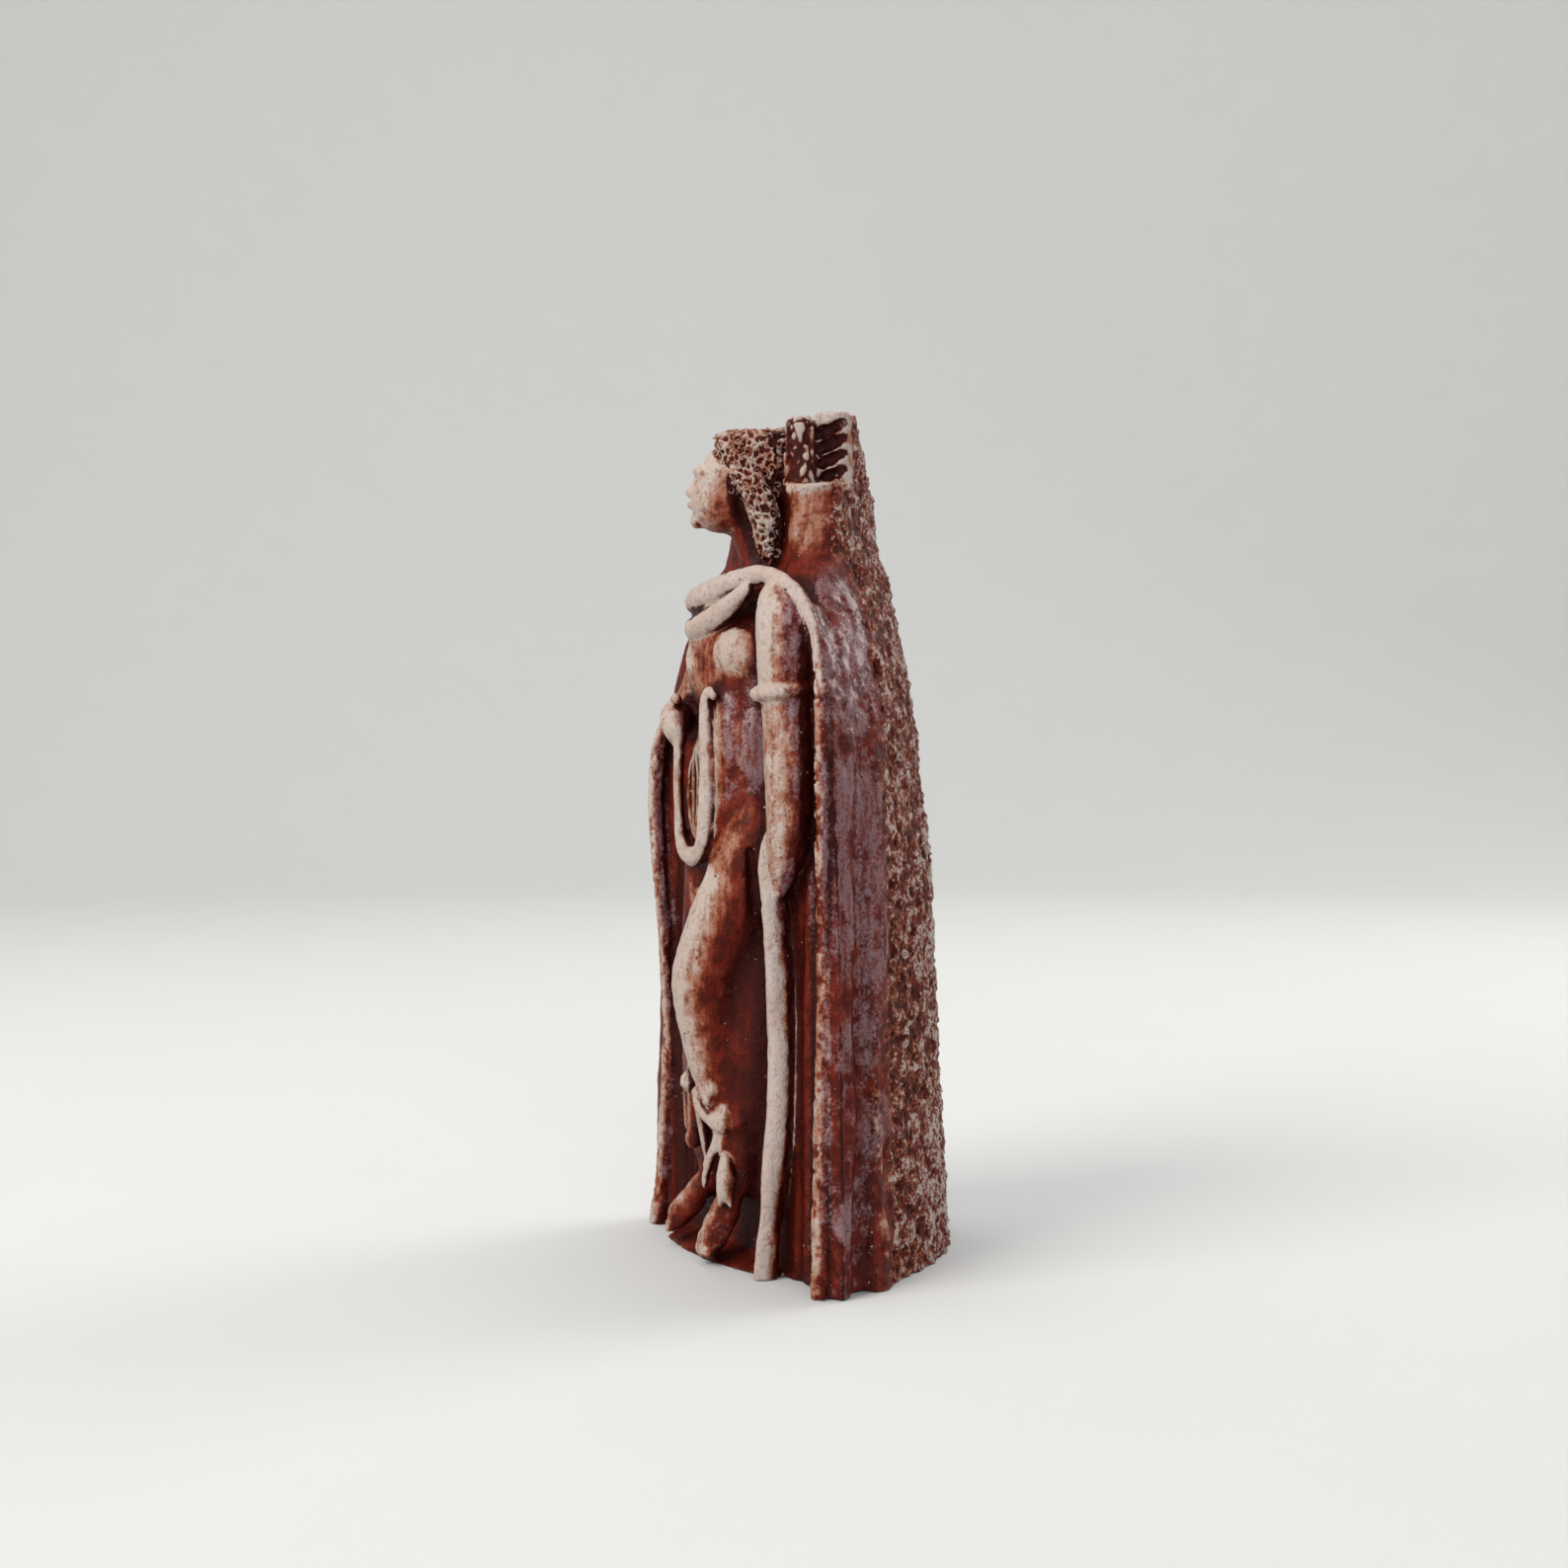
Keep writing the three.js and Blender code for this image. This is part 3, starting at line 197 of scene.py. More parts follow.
TOES = [
    (0.0, -15.4, 1.7, 0.75), (0.9, -15.8, 1.6, 0.7), (1.8, -15.7, 1.6, 0.6), (-8.9, -14.6, 2.3, 0.6),
    (-8.0, -15.1, 2.1, 0.6),
]
HEM_KNOTS = [
    (-2.6, -15.6, 19.8, 1.0, 0.9, 1.4), (1.6, -16.0, 19.2, 0.7, 0.6, 0.6), (2.5, -15.7, 19.8, 0.6, 0.6, 0.8),
    (2.2, -15.9, 18.5, 0.5, 0.5, 0.5), (3.0, -14.6, 16.3, 1.2, 0.8, 1.6),
]
HEM_FOLD = (2.1, -13.2, 16.6, 2.6, 1.5, 2.5)
HEM_DRIP = (-3.6, -14.5, 13.2, 0.9, 0.9, 1.3)
HEM_TAILS = [
    [(-0.6, -15.8, 19.0, 0.6), (0.5, -15.9, 17.4, 0.65), (1.6, -15.5, 16.4, 0.6), (2.6, -14.8, 15.4, 0.5)],
    [(1.9, -13.9, 14.8, 0.8), (1.0, -14.5, 12.4, 0.6), (0.3, -14.9, 10.6, 0.5), (0.0, -15.1, 8.6, 0.3)],
    [(-1.2, -15.2, 18.0, 0.6), (-1.2, -14.6, 14.6, 0.5), (-0.8, -14.2, 11.0, 0.35)],
    [(2.8, -14.0, 12.0, 0.6), (3.3, -14.3, 10.2, 1.0), (3.5, -14.6, 8.6, 0.9), (3.2, -14.9, 7.2, 0.35)],
    [(3.5, -14.4, 9.4, 0.8), (4.2, -14.2, 7.1, 0.35)],
]

# Arms; the armlet is a centre, radius, thickness and tilt in degrees
LEFT_ARM = [
    (10.1, -11.1, 72.6, 2.7), (10.9, -11.4, 70.6, 3.1), (11.3, -11.5, 68.0, 3.2), (11.6, -11.7, 63.8, 3.0),
    (11.9, -11.6, 60.6, 2.8), (12.2, -11.6, 54.5, 2.8), (12.2, -11.6, 49.4, 2.6), (11.9, -11.8, 46.4, 2.2),
    (11.5, -12.0, 44.2, 1.6), (11.1, -12.2, 41.8, 0.7),
]
ARMLET = ((11.5, -11.8, 63.2), 2.95, 0.8, 8)
RIGHT_ARM = [
    (-9.0, -8.6, 72.0, 2.6), (-11.0, -8.4, 66.0, 2.5), (-12.6, -9.6, 61.4, 2.2), (-11.2, -11.8, 60.6, 1.7),
    (-9.0, -13.2, 61.0, 1.4),
]
RIGHT_HAND = [
    (-9.2, -13.4, 61.2, 1.6), (-7.6, -14.6, 60.8, 1.75), (-6.4, -15.2, 59.6, 1.5),
    (-5.9, -15.2, 58.4, 1.0),
]
THUMB = [(-8.0, -14.4, 61.8, 0.7), (-6.9, -14.9, 62.7, 0.65), (-5.8, -15.2, 62.6, 0.5)]

# Lyre: each half of its frame as distance from its axis, height above its foot and radius, then the sound
# board and its hollow as masses
LYRE_AXIS, LYRE_FRONT, LYRE_FOOT = -2.2, -15.2, 45.1
LYRE_LEFT = [
    (0.0, 0.0, 1.05), (1.5, 0.3, 1.1), (2.7, 1.7, 1.1), (3.1, 4.0, 1.05), (3.3, 7.0, 1.05), (3.2, 11.0, 1.0),
    (2.9, 15.0, 0.95), (2.8, 17.3, 0.8), (3.5, 18.2, 0.65), (4.6, 17.7, 0.5),
]
LYRE_RIGHT = [
    (0.0, 0.0, 1.05), (-1.5, 0.3, 1.0), (-2.7, 1.7, 0.85), (-3.2, 4.0, 0.7), (-3.5, 7.0, 0.65),
    (-3.5, 10.0, 0.65), (-3.3, 14.0, 0.65),
]
SOUND_BOARD = (-2.2, -14.0, 51.5, 2.9, 1.0, 6.6)
BOARD_HOLLOW = (-2.4, -15.9, 52.6, 3.0, 1.7, 6.8)

# Head in its own frame, face toward -Y, then turned to the figure's right with the chin a little up
HEAD_CENTRE, HEAD_TURN, HEAD_NOD = (-2.0, -10.0, 86.5), -42, -8
SKULL = (0, 0, 0, 4.1, 4.6, 5.0)
JAW = (0, -1.6, -2.1, 3.2, 3.0, 3.1)
CHIN = (0, -3.7, -4.2, 1.2, 0.9, 0.9)
NOSE = [(0, -4.2, 0.8, 0.5), (0, -4.8, -0.8, 0.6), (0, -4.9, -1.1, 0.65)]
BROWS = [
    (-2.7, -3.5, 0.9, 0.4), (-1.3, -4.3, 1.4, 0.5), (0, -4.5, 1.2, 0.45), (1.3, -4.3, 1.4, 0.5),
    (2.7, -3.5, 0.9, 0.4),
]
EYE_HOLLOWS = [(-1.4, -4.7, 0.2, 1.0, 0.8, 0.6), (1.4, -4.7, 0.2, 1.0, 0.8, 0.6)]
LIPS = [(-1.0, -4.4, -2.6, 0.3), (0, -4.8, -2.5, 0.45), (1.0, -4.4, -2.6, 0.3)]
NECK = [(-0.2, -7.0, 75.5, 3.2), (-0.6, -7.2, 79.0, 2.5), (-1.4, -8.4, 83.0, 2.7)]

# Hair in the head's own frame: cap, fringe and the lock behind each cheek; its flat top is level
HAIR_CAP = (0, 2.3, 2.5, 4.5, 4.9, 5.4)
HAIR_TOP = 92.7
FRINGE = [
    (-3.0, -0.8, 4.4, 1.1), (-1.6, -1.4, 4.9, 1.1), (0, -1.6, 5.0, 1.1), (1.6, -1.4, 4.9, 1.1),
    (3.0, -0.8, 4.4, 1.1),
]
LOCK = [
    (3.0, -0.2, 4.0, 1.3), (3.6, 1.3, 1.9, 1.5), (3.9, 3.1, -0.2, 1.7), (3.8, 4.3, -2.2, 1.8),
    (3.5, 5.0, -4.4, 1.5), (3.1, 5.4, -6.4, 1.2), (2.7, 5.7, -8.2, 0.8),
]
NAPE_HOLLOW = [
    (4.3, 0.5, 0.4, 0.35), (4.0, 1.4, -1.4, 0.8), (3.4, 2.2, -3.2, 1.1), (2.9, 2.9, -5.4, 1.2),
    (2.6, 3.5, -7.4, 0.9),
]

# Quiver; its rim is a centre, radius, thickness and tilt
QUIVER = [(7.0, -4.0, 75.0, 3.3), (6.5, -4.3, 86.0, 3.5)]
QUIVER_RIM = ((6.5, -4.3, 85.7), 3.45, 0.34, 3)
# Fletched ends of the arrows: centre, half width, half depth, low and high; then the slots of the second one
FLETCHINGS = [(6.4, -6.5, 1.6, 1.9, 84.6, 93.6), (6.6, -2.0, 2.7, 2.0, 84.6, 94.5)]
FLETCHING_CROWN = 0.9
SLOT = [(6.9, -4.8, -0.7, 0.45), (7.9, -3.6, -0.1, 0.6), (8.7, -2.0, 0.8, 0.35)]
SLOT_HEIGHTS = (87.2, 88.9, 90.6, 92.3)
# Swelling of the foot in front, under the feet
GROUND = (-3.0, -9.8, -1.0, 15.0, 5.7, 2.3)

# Half width of the sampled room and a distance beyond every surface
REACH = 22.0
FAR = 1e3
# Room sampled under and over the figurine, and straight pieces to each span of a strand
UNDER, OVER = 0.7, 1
STRAND_STEPS = 3
# Distance past which a sample no longer counts when the form is evened out
DEEPEST = 4


def soft_min(a, b, reach):
    """Smooth join of two distances."""
    h = np.maximum(reach - np.abs(a - b), 0) / reach
    return np.minimum(a, b) - h * h * (reach / 4)


def soft_max(a, b, reach):
    """Smooth overlap of two distances."""
    return -soft_min(-a, -b, reach)


def row_at(rows, z):
    """Values of a row table at the heights z, by a cubic through the rows."""
    rows = np.array(rows)
    heights = rows[:, 0]
    i = np.clip(np.searchsorted(heights, z) - 1, 0, len(rows) - 2)
    width = heights[i + 1] - heights[i]
    t = np.clip((z - heights[i]) / width, 0, 1)
    last = len(rows) - 1
    slopes = np.array([(rows[min(j + 1, last)] - rows[max(j - 1, 0)])
                       / (heights[min(j + 1, last)] - heights[max(j - 1, 0)]) for j in range(len(rows))])
    rise = (t**3 - 2 * t**2 + t) * width * slopes[i].T + (t**3 - t**2) * width * slopes[i + 1].T
    return (2 * t**3 - 3 * t**2 + 1) * rows[i].T + (3 * t**2 - 2 * t**3) * rows[i + 1].T + rise


def along(rows, per_span):
    """Rows along a smooth curve through the given rows."""
    rows = np.array(rows, dtype=float)
    last = len(rows) - 1
    out = []
    for i in range(last):
        before, start, end, after = rows[max(i - 1, 0)], rows[i], rows[i + 1], rows[min(i + 2, last)]
        for n in range(per_span):
            t = n / per_span
            out.append(start + 0.5 * t * (end - before + t * (2 * before - 5 * start + 4 * end - after)
                                          + t * t * (3 * start - before - 3 * end + after)))
    return out + [rows[last]]


class Form:
    """A form in parts, each with its box and a distance function that is negative inside.

    The spread is how much a distance may be understated where the form is drawn out.
    """

    def __init__(self, parts, spread=1.0):
        self.parts = parts
        self.spread = spread


def strand(rows, stretch=(1, 1, 1)):
    """Rounded strand of changing radius along the rows, drawn out by the stretch."""
    points = along(rows, STRAND_STEPS) if len(rows) > 2 else [np.array(row, dtype=float) for row in rows]
    stretch = np.array(stretch, dtype=float)
    least = stretch.min()
    parts = []
    for a, b in zip(points, points[1:]):
        ends = np.array([a[:3] - a[3] * stretch, a[:3] + a[3] * stretch,
                         b[:3] - b[3] * stretch, b[:3] + b[3] * stretch])
        start, run = a[:3] / stretch, (b[:3] - a[:3]) / stretch

        def measure(x, y, z, start=start, run=run, radius=a[3], growth=b[3] - a[3]):
            px, py, pz = x / stretch[0] - start[0], y / stretch[1] - start[1], z / stretch[2] - start[2]
            t = np.clip((px * run[0] + py * run[1] + pz * run[2]) / (run @ run), 0, 1)
            gap = np.sqrt((px - t * run[0])**2 + (py - t * run[1])**2 + (pz - t * run[2])**2)
            return (gap - radius - t * growth) * least

        parts.append(((ends.min(axis=0), ends.max(axis=0)), measure))
    return Form(parts, stretch.max() / least)


def blob(row, turn=0):
    """Ellipsoid from its centre and radii, turned about the upright."""
    cx, cy, cz, rx, ry, rz = row
    c, s = math.cos(math.radians(turn)), math.sin(math.radians(turn))

    def measure(x, y, z):
        ux = (c * (x - cx) + s * (y - cy)) / rx
        uy = (c * (y - cy) - s * (x - cx)) / ry
        uz = (z - cz) / rz
        size = np.sqrt(ux * ux + uy * uy + uz * uz)
        growth = np.sqrt((ux / rx)**2 + (uy / ry)**2 + (uz / rz)**2) + 1e-9
        return size * (size - 1) / growth

    flat = max(rx, ry)
    reach = np.array([flat, flat, rz])
    centre = np.array([cx, cy, cz], dtype=float)
    return Form([((centre - reach, centre + reach), measure)], max(row[3:]) / min(row[3:]))


def ball(row):
    """Ball from its centre and radius."""
    return blob((*row, row[3], row[3]))


def ring(centre, radius, thickness, tilt):
    """Ring around an upright axis, tilted about X."""
    c, s = math.cos(math.radians(tilt)), math.sin(math.radians(tilt))

    def measure(x, y, z):
        dy = c * (y - centre[1]) + s * (z - centre[2])
        dz = c * (z - centre[2]) - s * (y - centre[1])
        around = np.sqrt((x - centre[0])**2 + dy * dy) - radius
        return np.sqrt(around**2 + dz * dz) - thickness

    middle = np.array(centre)
    return Form([((middle - radius - thickness, middle + radius + thickness), measure)])


def below(form, level, round_):
    """A form below a level plane."""
    parts = [(box, lambda x, y, z, measure=measure: soft_max(measure(x, y, z), z - level, round_))
             for box, measure in form.parts]
    return Form(parts, form.spread)


# The head's place and turn, and the way back to its own frame
head_turn = (Matrix.Translation(HEAD_CENTRE) @ Matrix.Rotation(math.radians(HEAD_TURN), 4, "Z")
             @ Matrix.Rotation(math.radians(HEAD_NOD), 4, "X"))
head_back = np.array(head_turn.inverted())


def on_head(form):
    """A form made in the head's own frame, set in its place."""
    parts = []
    for (low, high), measure in form.parts:
        corners = [head_turn @ Vector((x, y, z)) for x in (low[0], high[0]) for y in (low[1], high[1])
                   for z in (low[2], high[2])]
        box = (np.min(corners, axis=0), np.max(corners, axis=0))

        def placed(x, y, z, measure=measure):
            return measure(*[row[0] * x + row[1] * y + row[2] * z + row[3] for row in head_back[:3]])

        parts.append((box, placed))
    return Form(parts, form.spread)


def mirrored(rows, side):
    """The rows as they are on side 1, and mirrored on side -1."""
    return [(side * x, y, z, r) for x, y, z, r in rows]


def hair_forms():
    """Cap, fringe and locks, cut level at the top."""
    locks = [mirrored(LOCK, side) for side in (1, -1)]
    forms = (blob(HAIR_CAP), *map(strand, (FRINGE, *locks)))
    return [below(on_head(form), HAIR_TOP, 0.5) for form in forms]


def hanging_edge():
    """Edge of cloth under the left hand, drawn out in depth."""
    return strand(HANGING_EDGE, (1, HANGING_DEPTH, 1))


def skirt():
    """The dress below the hips, drawn out sideways."""
    return strand(SKIRT, (SKIRT_WIDTH, 1, 1))


def lyre_halves():
    """The two halves of the lyre's frame."""
    return [strand([(LYRE_AXIS + x, LYRE_FRONT, LYRE_FOOT + z, r) for x, z, r in half])
            for half in (LYRE_LEFT, LYRE_RIGHT)]


def arrow_ends():
    """Fletched end of each arrow as a flat bar, with the height where it is cut."""
    return [(strand([(x, y, low, 1), (x, y, high - FLETCHING_CROWN, 1)], (deep, half, 1)), high)
            for x, y, half, deep, low, high in FLETCHINGS]


def arrow_slots():
    """Slots between the barbs of the second arrow."""
    return [strand([(x, y, level + z, r) for x, y, z, r in SLOT]) for level in SLOT_HEIGHTS]


class Clay:
    """Distances from the surface on a grid of samples, to which forms are joined and carved."""

    def __init__(self, step):
        low = (-REACH, -REACH, -UNDER)
        high = (REACH, REACH, HEIGHT + OVER)
        self.step = step
        self.low = np.array(low)
        self.axes = [np.arange(a, b, step, dtype=np.float32) for a, b in zip(low, high)]
        self.values = self.column()

    def column(self):
        """The cloaked column, whose plan changes with its height."""
        x, y, z = self.axes
        _, half, back, middle, front = row_at(CLOAK_ROWS, z).astype(np.float32)
        u = np.maximum(np.abs(x)[:, None] / half, 1e-6)
        behind = y[:, None] > middle
        length = np.where(behind, back - middle, middle - front)
        v = np.maximum(np.abs(y[:, None] - middle) / length, 1e-6)
        out = np.empty((len(x), len(y), len(z)), dtype=np.float32)
        for power, side in ((CLOAK_POWER, behind), (CLOAK_FRONT_POWER, ~behind)):
            rows = np.flatnonzero(side.any(axis=1))
            upper = v[rows][None]
            size = (u[:, None]**power + upper**power)**(1 / power)
            across, deep = (u**(power - 1) / half)[:, None], upper**(power - 1) / length[rows][None]
            slope = np.sqrt(across**2 + deep**2)
            form = (size - 1) / (slope * size**(1 - power))
            out[:, rows] = np.where(side[rows][None], form, out[:, rows])
        top = z - HEIGHT + TOP_DROP - TOP_SLOPE * y[:, None]
        return soft_max(out, top[None].astype(np.float32), TOP_ROUND)

    def window(self, low, high, pad):
        """Slices of the samples inside a box, and their places."""
        slices = [slice(*np.searchsorted(axis, (low[k] - pad, high[k] + pad)))
                  for k, axis in enumerate(self.axes)]
        x, y, z = [axis[part] for axis, part in zip(self.axes, slices)]
        return tuple(slices), (x[:, None, None], y[None, :, None], z[None, None, :])

    def sample(self, form, reach):
        """The form's distance near it, and FAR elsewhere."""
        pad = (reach + self.step) * form.spread
        low = np.min([box[0] for box, _ in form.parts], axis=0)
        high = np.max([box[1] for box, _ in form.parts], axis=0)
        whole, _ = self.window(low, high, pad)
        out = np.full([part.stop - part.start for part in whole], FAR, dtype=np.float32)
        for box, measure in form.parts:
            part, places = self.window(*box, pad)
            inner = tuple(slice(p.start - w.start, p.stop - w.start) for p, w in zip(part, whole))
            out[inner] = np.minimum(out[inner], measure(*places))
        return whole, out

    def join(self, form, blend):
        """Adds a form, with a rounded seam as wide as the blend."""
        whole, other = self.sample(form, blend)
        self.values[whole] = soft_min(self.values[whole], other, blend)

    def carve(self, form, blend):
        """Takes a form away, with edges rounded by the blend."""
        whole, other = self.sample(form, blend)
        self.values[whole] = soft_max(self.values[whole], -other, blend)

    def at(self, points, values=None, stride=1):
        """Distances at free points, read between the samples."""
        values = self.values if values is None else values
        place = (points - self.low) / (self.step * stride)
        cell = np.clip(np.floor(place).astype(int), 0, np.array(values.shape) - 2)
        part = (place - cell).astype(np.float32)
        total = 0
        for corner in range(8):
            bits = np.array([corner & 1, corner >> 1 & 1, corner >> 2])
            share = np.prod(np.where(bits, part, 1 - part), axis=1)
            total = total + share * values[tuple((cell + bits).T)]
        return total

    def normals(self, points, reach):
        """Outward directions, evened out over the reach."""
        out = np.stack([self.at(points + reach * axis) - self.at(points - reach * axis)
                        for axis in np.eye(3)], axis=1)
        return out / (np.linalg.norm(out, axis=1, keepdims=True) + 1e-9)

    def smoothed(self, stride, radius, rounds):
        """The distances on a coarser grid, evened out over a radius in its cells."""
        out = np.clip(self.values[::stride, ::stride, ::stride], -DEEPEST, DEEPEST).astype(np.float64)
        for axis in [0, 1, 2] * rounds:
            padding = [(radius + 1, radius) if k == axis else (0, 0) for k in range(3)]
            total = np.cumsum(np.pad(out, padding, mode="edge"), axis=axis)
            size = out.shape[axis]
            ends = np.take(total, np.arange(2 * radius + 1, 2 * radius + 1 + size), axis=axis)
            out = (ends - np.take(total, np.arange(size), axis=axis)) / (2 * radius + 1)
        return out.astype(np.float32)

    def surface(self):
        """Points and four-sided faces of the closed surface, facing outward."""
        values = self.values
        inside = values < 0
        either, both = inside, inside
        for axis in range(3):
            first = [slice(None)] * 3
            second = [slice(None)] * 3
            first[axis], second[axis] = slice(None, -1), slice(1, None)
            either = either[tuple(first)] | either[tuple(second)]
            both = both[tuple(first)] & both[tuple(second)]
        cells = np.argwhere(either & ~both)
        numbers = np.full(either.shape, -1, dtype=np.int32)
        numbers[tuple(cells.T)] = np.arange(len(cells))
        total = np.zeros((len(cells), 3))
        count = np.zeros((len(cells), 1))
        for corner in range(8):
            bits = np.array([corner & 1, corner >> 1 & 1, corner >> 2])
            here = values[tuple((cells + bits).T)]
            for axis in np.flatnonzero(bits == 0):
                there = values[tuple((cells + bits + np.eye(3, dtype=int)[axis]).T)]
                crossed = (here < 0) != (there < 0)
                share = np.where(crossed, here / np.where(crossed, here - there, 1), 0)
                place = np.repeat(bits[None].astype(float), len(cells), axis=0)
                place[:, axis] += share
                total += place * crossed[:, None]
                count += crossed[:, None]
        points = self.low + self.step * (cells + total / count)
        faces = []
        for axis in range(3):
            first = [slice(None)] * 3
            second = [slice(None)] * 3
            first[axis], second[axis] = slice(None, -1), slice(1, None)
            changes = inside[tuple(first)] != inside[tuple(second)]
            edges = np.argwhere(changes)
            b, c = [k for k in range(3) if k != axis]
            edges = edges[(edges[:, b] > 0) & (edges[:, c] > 0)]
            step_b, step_c = np.eye(3, dtype=int)[b], np.eye(3, dtype=int)[c]
            corners = (0 * step_b, step_b, step_b + step_c, step_c)
            quad = np.stack([numbers[tuple((edges - corner).T)] for corner in corners], axis=1)
            outward = inside[tuple(edges.T)]
            flip = outward != (axis == 1)
            faces.append(np.where(flip[:, None], quad, quad[:, ::-1]))
        return points, np.concatenate(faces)


def shape_figurine(clay):
    """The broad forms of the casting, in the order in which they cover each other.

    The last value of each call is how widely the form blends, in mm.
    """
    clay.join(blob(GROUND), 1.0)
    for side in (1, -1):
        for rows in SIDE_FOLDS:
            clay.join(strand(mirrored(rows, side)), 2.4)
        for rows in SIDE_GROOVES:
            clay.carve(strand(mirrored(rows, side)), 0.7)
    clay.join(strand(EDGE_LIP), 1.0)
    clay.join(strand(LEFT_EDGE), 0.6)
    clay.join(strand(RIGHT_EDGE), 0.6)
    clay.carve(strand(LEFT_HOLLOW), 0.9)
    clay.carve(strand(RIGHT_HOLLOW), 1.2)
    clay.join(strand(FAINT_FOLD), 0.8)
    for x, y, r in INNER_FOLDS:
        rows = [(x + INNER_FOLD_SWAY * (n % 2), y, z, r * (INNER_FOLD_START + INNER_FOLD_GROWTH * n))
                for n, z in enumerate(INNER_FOLD_HEIGHTS)]
        clay.join(strand(rows), 1.0)

    clay.join(blob(CHEST, CHEST_TURN), 1.4)
    for row in BREASTS:
        clay.join(blob(row, CHEST_TURN), 0.7)
    clay.join(blob(BELLY), 2.0)
    clay.join(strand(BELLY_FOLD), 1.2)
    clay.join(blob(HIPS), 2.0)
    clay.join(skirt(), 1.5)
    clay.join(strand(RIGHT_LEG), 1.6)
    clay.join(strand(LEFT_LEG), 1.8)
    for rows in DRESS_FOLDS:
        clay.join(strand(rows), 0.9)
    clay.carve(strand(LEFT_GROOVE), 0.4)

    clay.join(strand(LOWER_ROLL), 0.4)
    clay.join(strand(UPPER_ROLL), 0.3)
    clay.carve(strand(ROLL_GROOVE), 0.3)
    clay.join(strand(LEFT_FOOT), 0.6)
    clay.join(strand(RIGHT_FOOT), 0.6)
    for row in TOES:
        clay.join(ball(row), 0.25)
    for row in [*HEM_KNOTS, HEM_FOLD, HEM_DRIP]:
        clay.join(blob(row), 0.5)
    for rows in HEM_TAILS:
        clay.join(strand(rows), 0.35)

    clay.join(below(strand(QUIVER), QUIVER_RIM[0][2], 0.3), 0.9)
    clay.join(ring(*QUIVER_RIM), 0.25)
    for form, high in arrow_ends():
        clay.join(below(form, high, 0.5), 0.3)
    for form in arrow_slots():
        clay.carve(form, 0.2)

    clay.join(strand(NECK), 0.9)
    clay.join(on_head(blob(SKULL)), 0.7)
    clay.join(on_head(blob(JAW)), 0.9)
    clay.join(on_head(blob(CHIN)), 0.6)
    for row in EYE_HOLLOWS:
        clay.carve(on_head(blob(row)), 0.4)
    clay.join(on_head(strand(BROWS)), 0.3)
    clay.join(on_head(strand(NOSE)), 0.3)
    clay.join(on_head(strand(LIPS)), 0.2)
    clay.carve(on_head(strand(NAPE_HOLLOW)), 0.4)
    for form in hair_forms():
        clay.join(form, 0.4)

    clay.join(strand(RIGHT_ARM), 0.8)
    clay.join(strand(LEFT_ARM), 0.5)
    clay.join(ring(*ARMLET), 0.25)
    clay.join(hanging_edge(), 0.5)
    clay.join(blob(SOUND_BOARD), 0.5)
    clay.carve(blob(BOARD_HOLLOW), 0.3)
    for form in lyre_halves():
        clay.join(form, 0.35)
    clay.join(strand(RIGHT_HAND), 0.4)
    clay.join(strand(THUMB), 0.3)


def chance(cell, seed):
    """A number from 0 to 1 for each whole-numbered cell."""
    x, y, z = cell.astype(np.int64).T
    mixed = (x * 374761393 + y * 668265263 + z * 1440662683 + seed * 974634777) & 0xFFFFFFFF
    mixed = ((mixed ^ (mixed >> 13)) * 1274126177) & 0xFFFFFFFF
    return (mixed ^ (mixed >> 16)) / 0xFFFFFFFF


def grain(points, size, seed):
    """Smooth noise from -1 to 1, with features about as large as the size."""
    place = points / np.asarray(size)
    cell = np.floor(place)
    part = place - cell
    part = part * part * (3 - 2 * part)
    total = 0
    for corner in range(8):
        bits = np.array([corner & 1, corner >> 1 & 1, corner >> 2])
        total = total + np.prod(np.where(bits, part, 1 - part), axis=1) * chance(cell + bits, seed)
    return 2 * total - 1


def cell_gaps(points, size, seed):
    """Distances to the nearest and second nearest of scattered centres, and the nearest one's chance."""
    place = points / np.asarray(size)
    cell = np.floor(place)
    first = np.full(len(points), FAR)
    second = first.copy()
    lot = np.zeros(len(points))
    for corner in range(27):
        other = cell + np.array([corner % 3, corner // 3 % 3, corner // 9]) - 1
        centre = other + np.stack([chance(other, seed + k) for k in range(3)], axis=1)
        gap = np.linalg.norm(centre - place, axis=1)
        nearer = gap < first
        second = np.where(nearer, first, np.minimum(second, gap))
        lot = np.where(nearer, chance(other, seed + 3), lot)
        first = np.where(nearer, gap, first)
    return first, second, lot


def ramp(value, low, high):
    """0 below low, 1 above high, smooth between them."""
    t = np.clip((value - low) / (high - low), 0, 1)
    return t * t * (3 - 2 * t)


def nearness(points, forms, reach):
    """1 on the surface of any of the forms, 0 beyond the reach."""
    best = np.full(len(points), FAR)
    for form in forms:
        for (low, high), measure in form.parts:
            near = np.flatnonzero(np.all((points > low - reach) & (points < high + reach), axis=1))
            best[near] = np.minimum(best[near], measure(*points[near].T))
    return 1 - ramp(best, 0.3 * reach, reach)


# Where the coarse back begins behind the figure, and on the neck of the cloak above these heights
BACK_START = (-3.6, -1.6)
UPPER_BACK_START = (-3.5, -1.5)
UPPER_BACK_HEIGHTS = (76, 80)
# Ways that the pale sides face, in degrees from the front toward the figure's right; their paleness is partly
# real rubbing and partly painted light from the front-left and above
LIGHT_AND_RUB_WAY, HEAD_WAY, HIPS_WAY = 32, 42, 20
# Above this height the left arm and the cloak's left edge are rubbed more
MORE_RUBBED_ABOVE = 62
# Paleness where nothing has rubbed the clay
UNRUBBED = -0.8

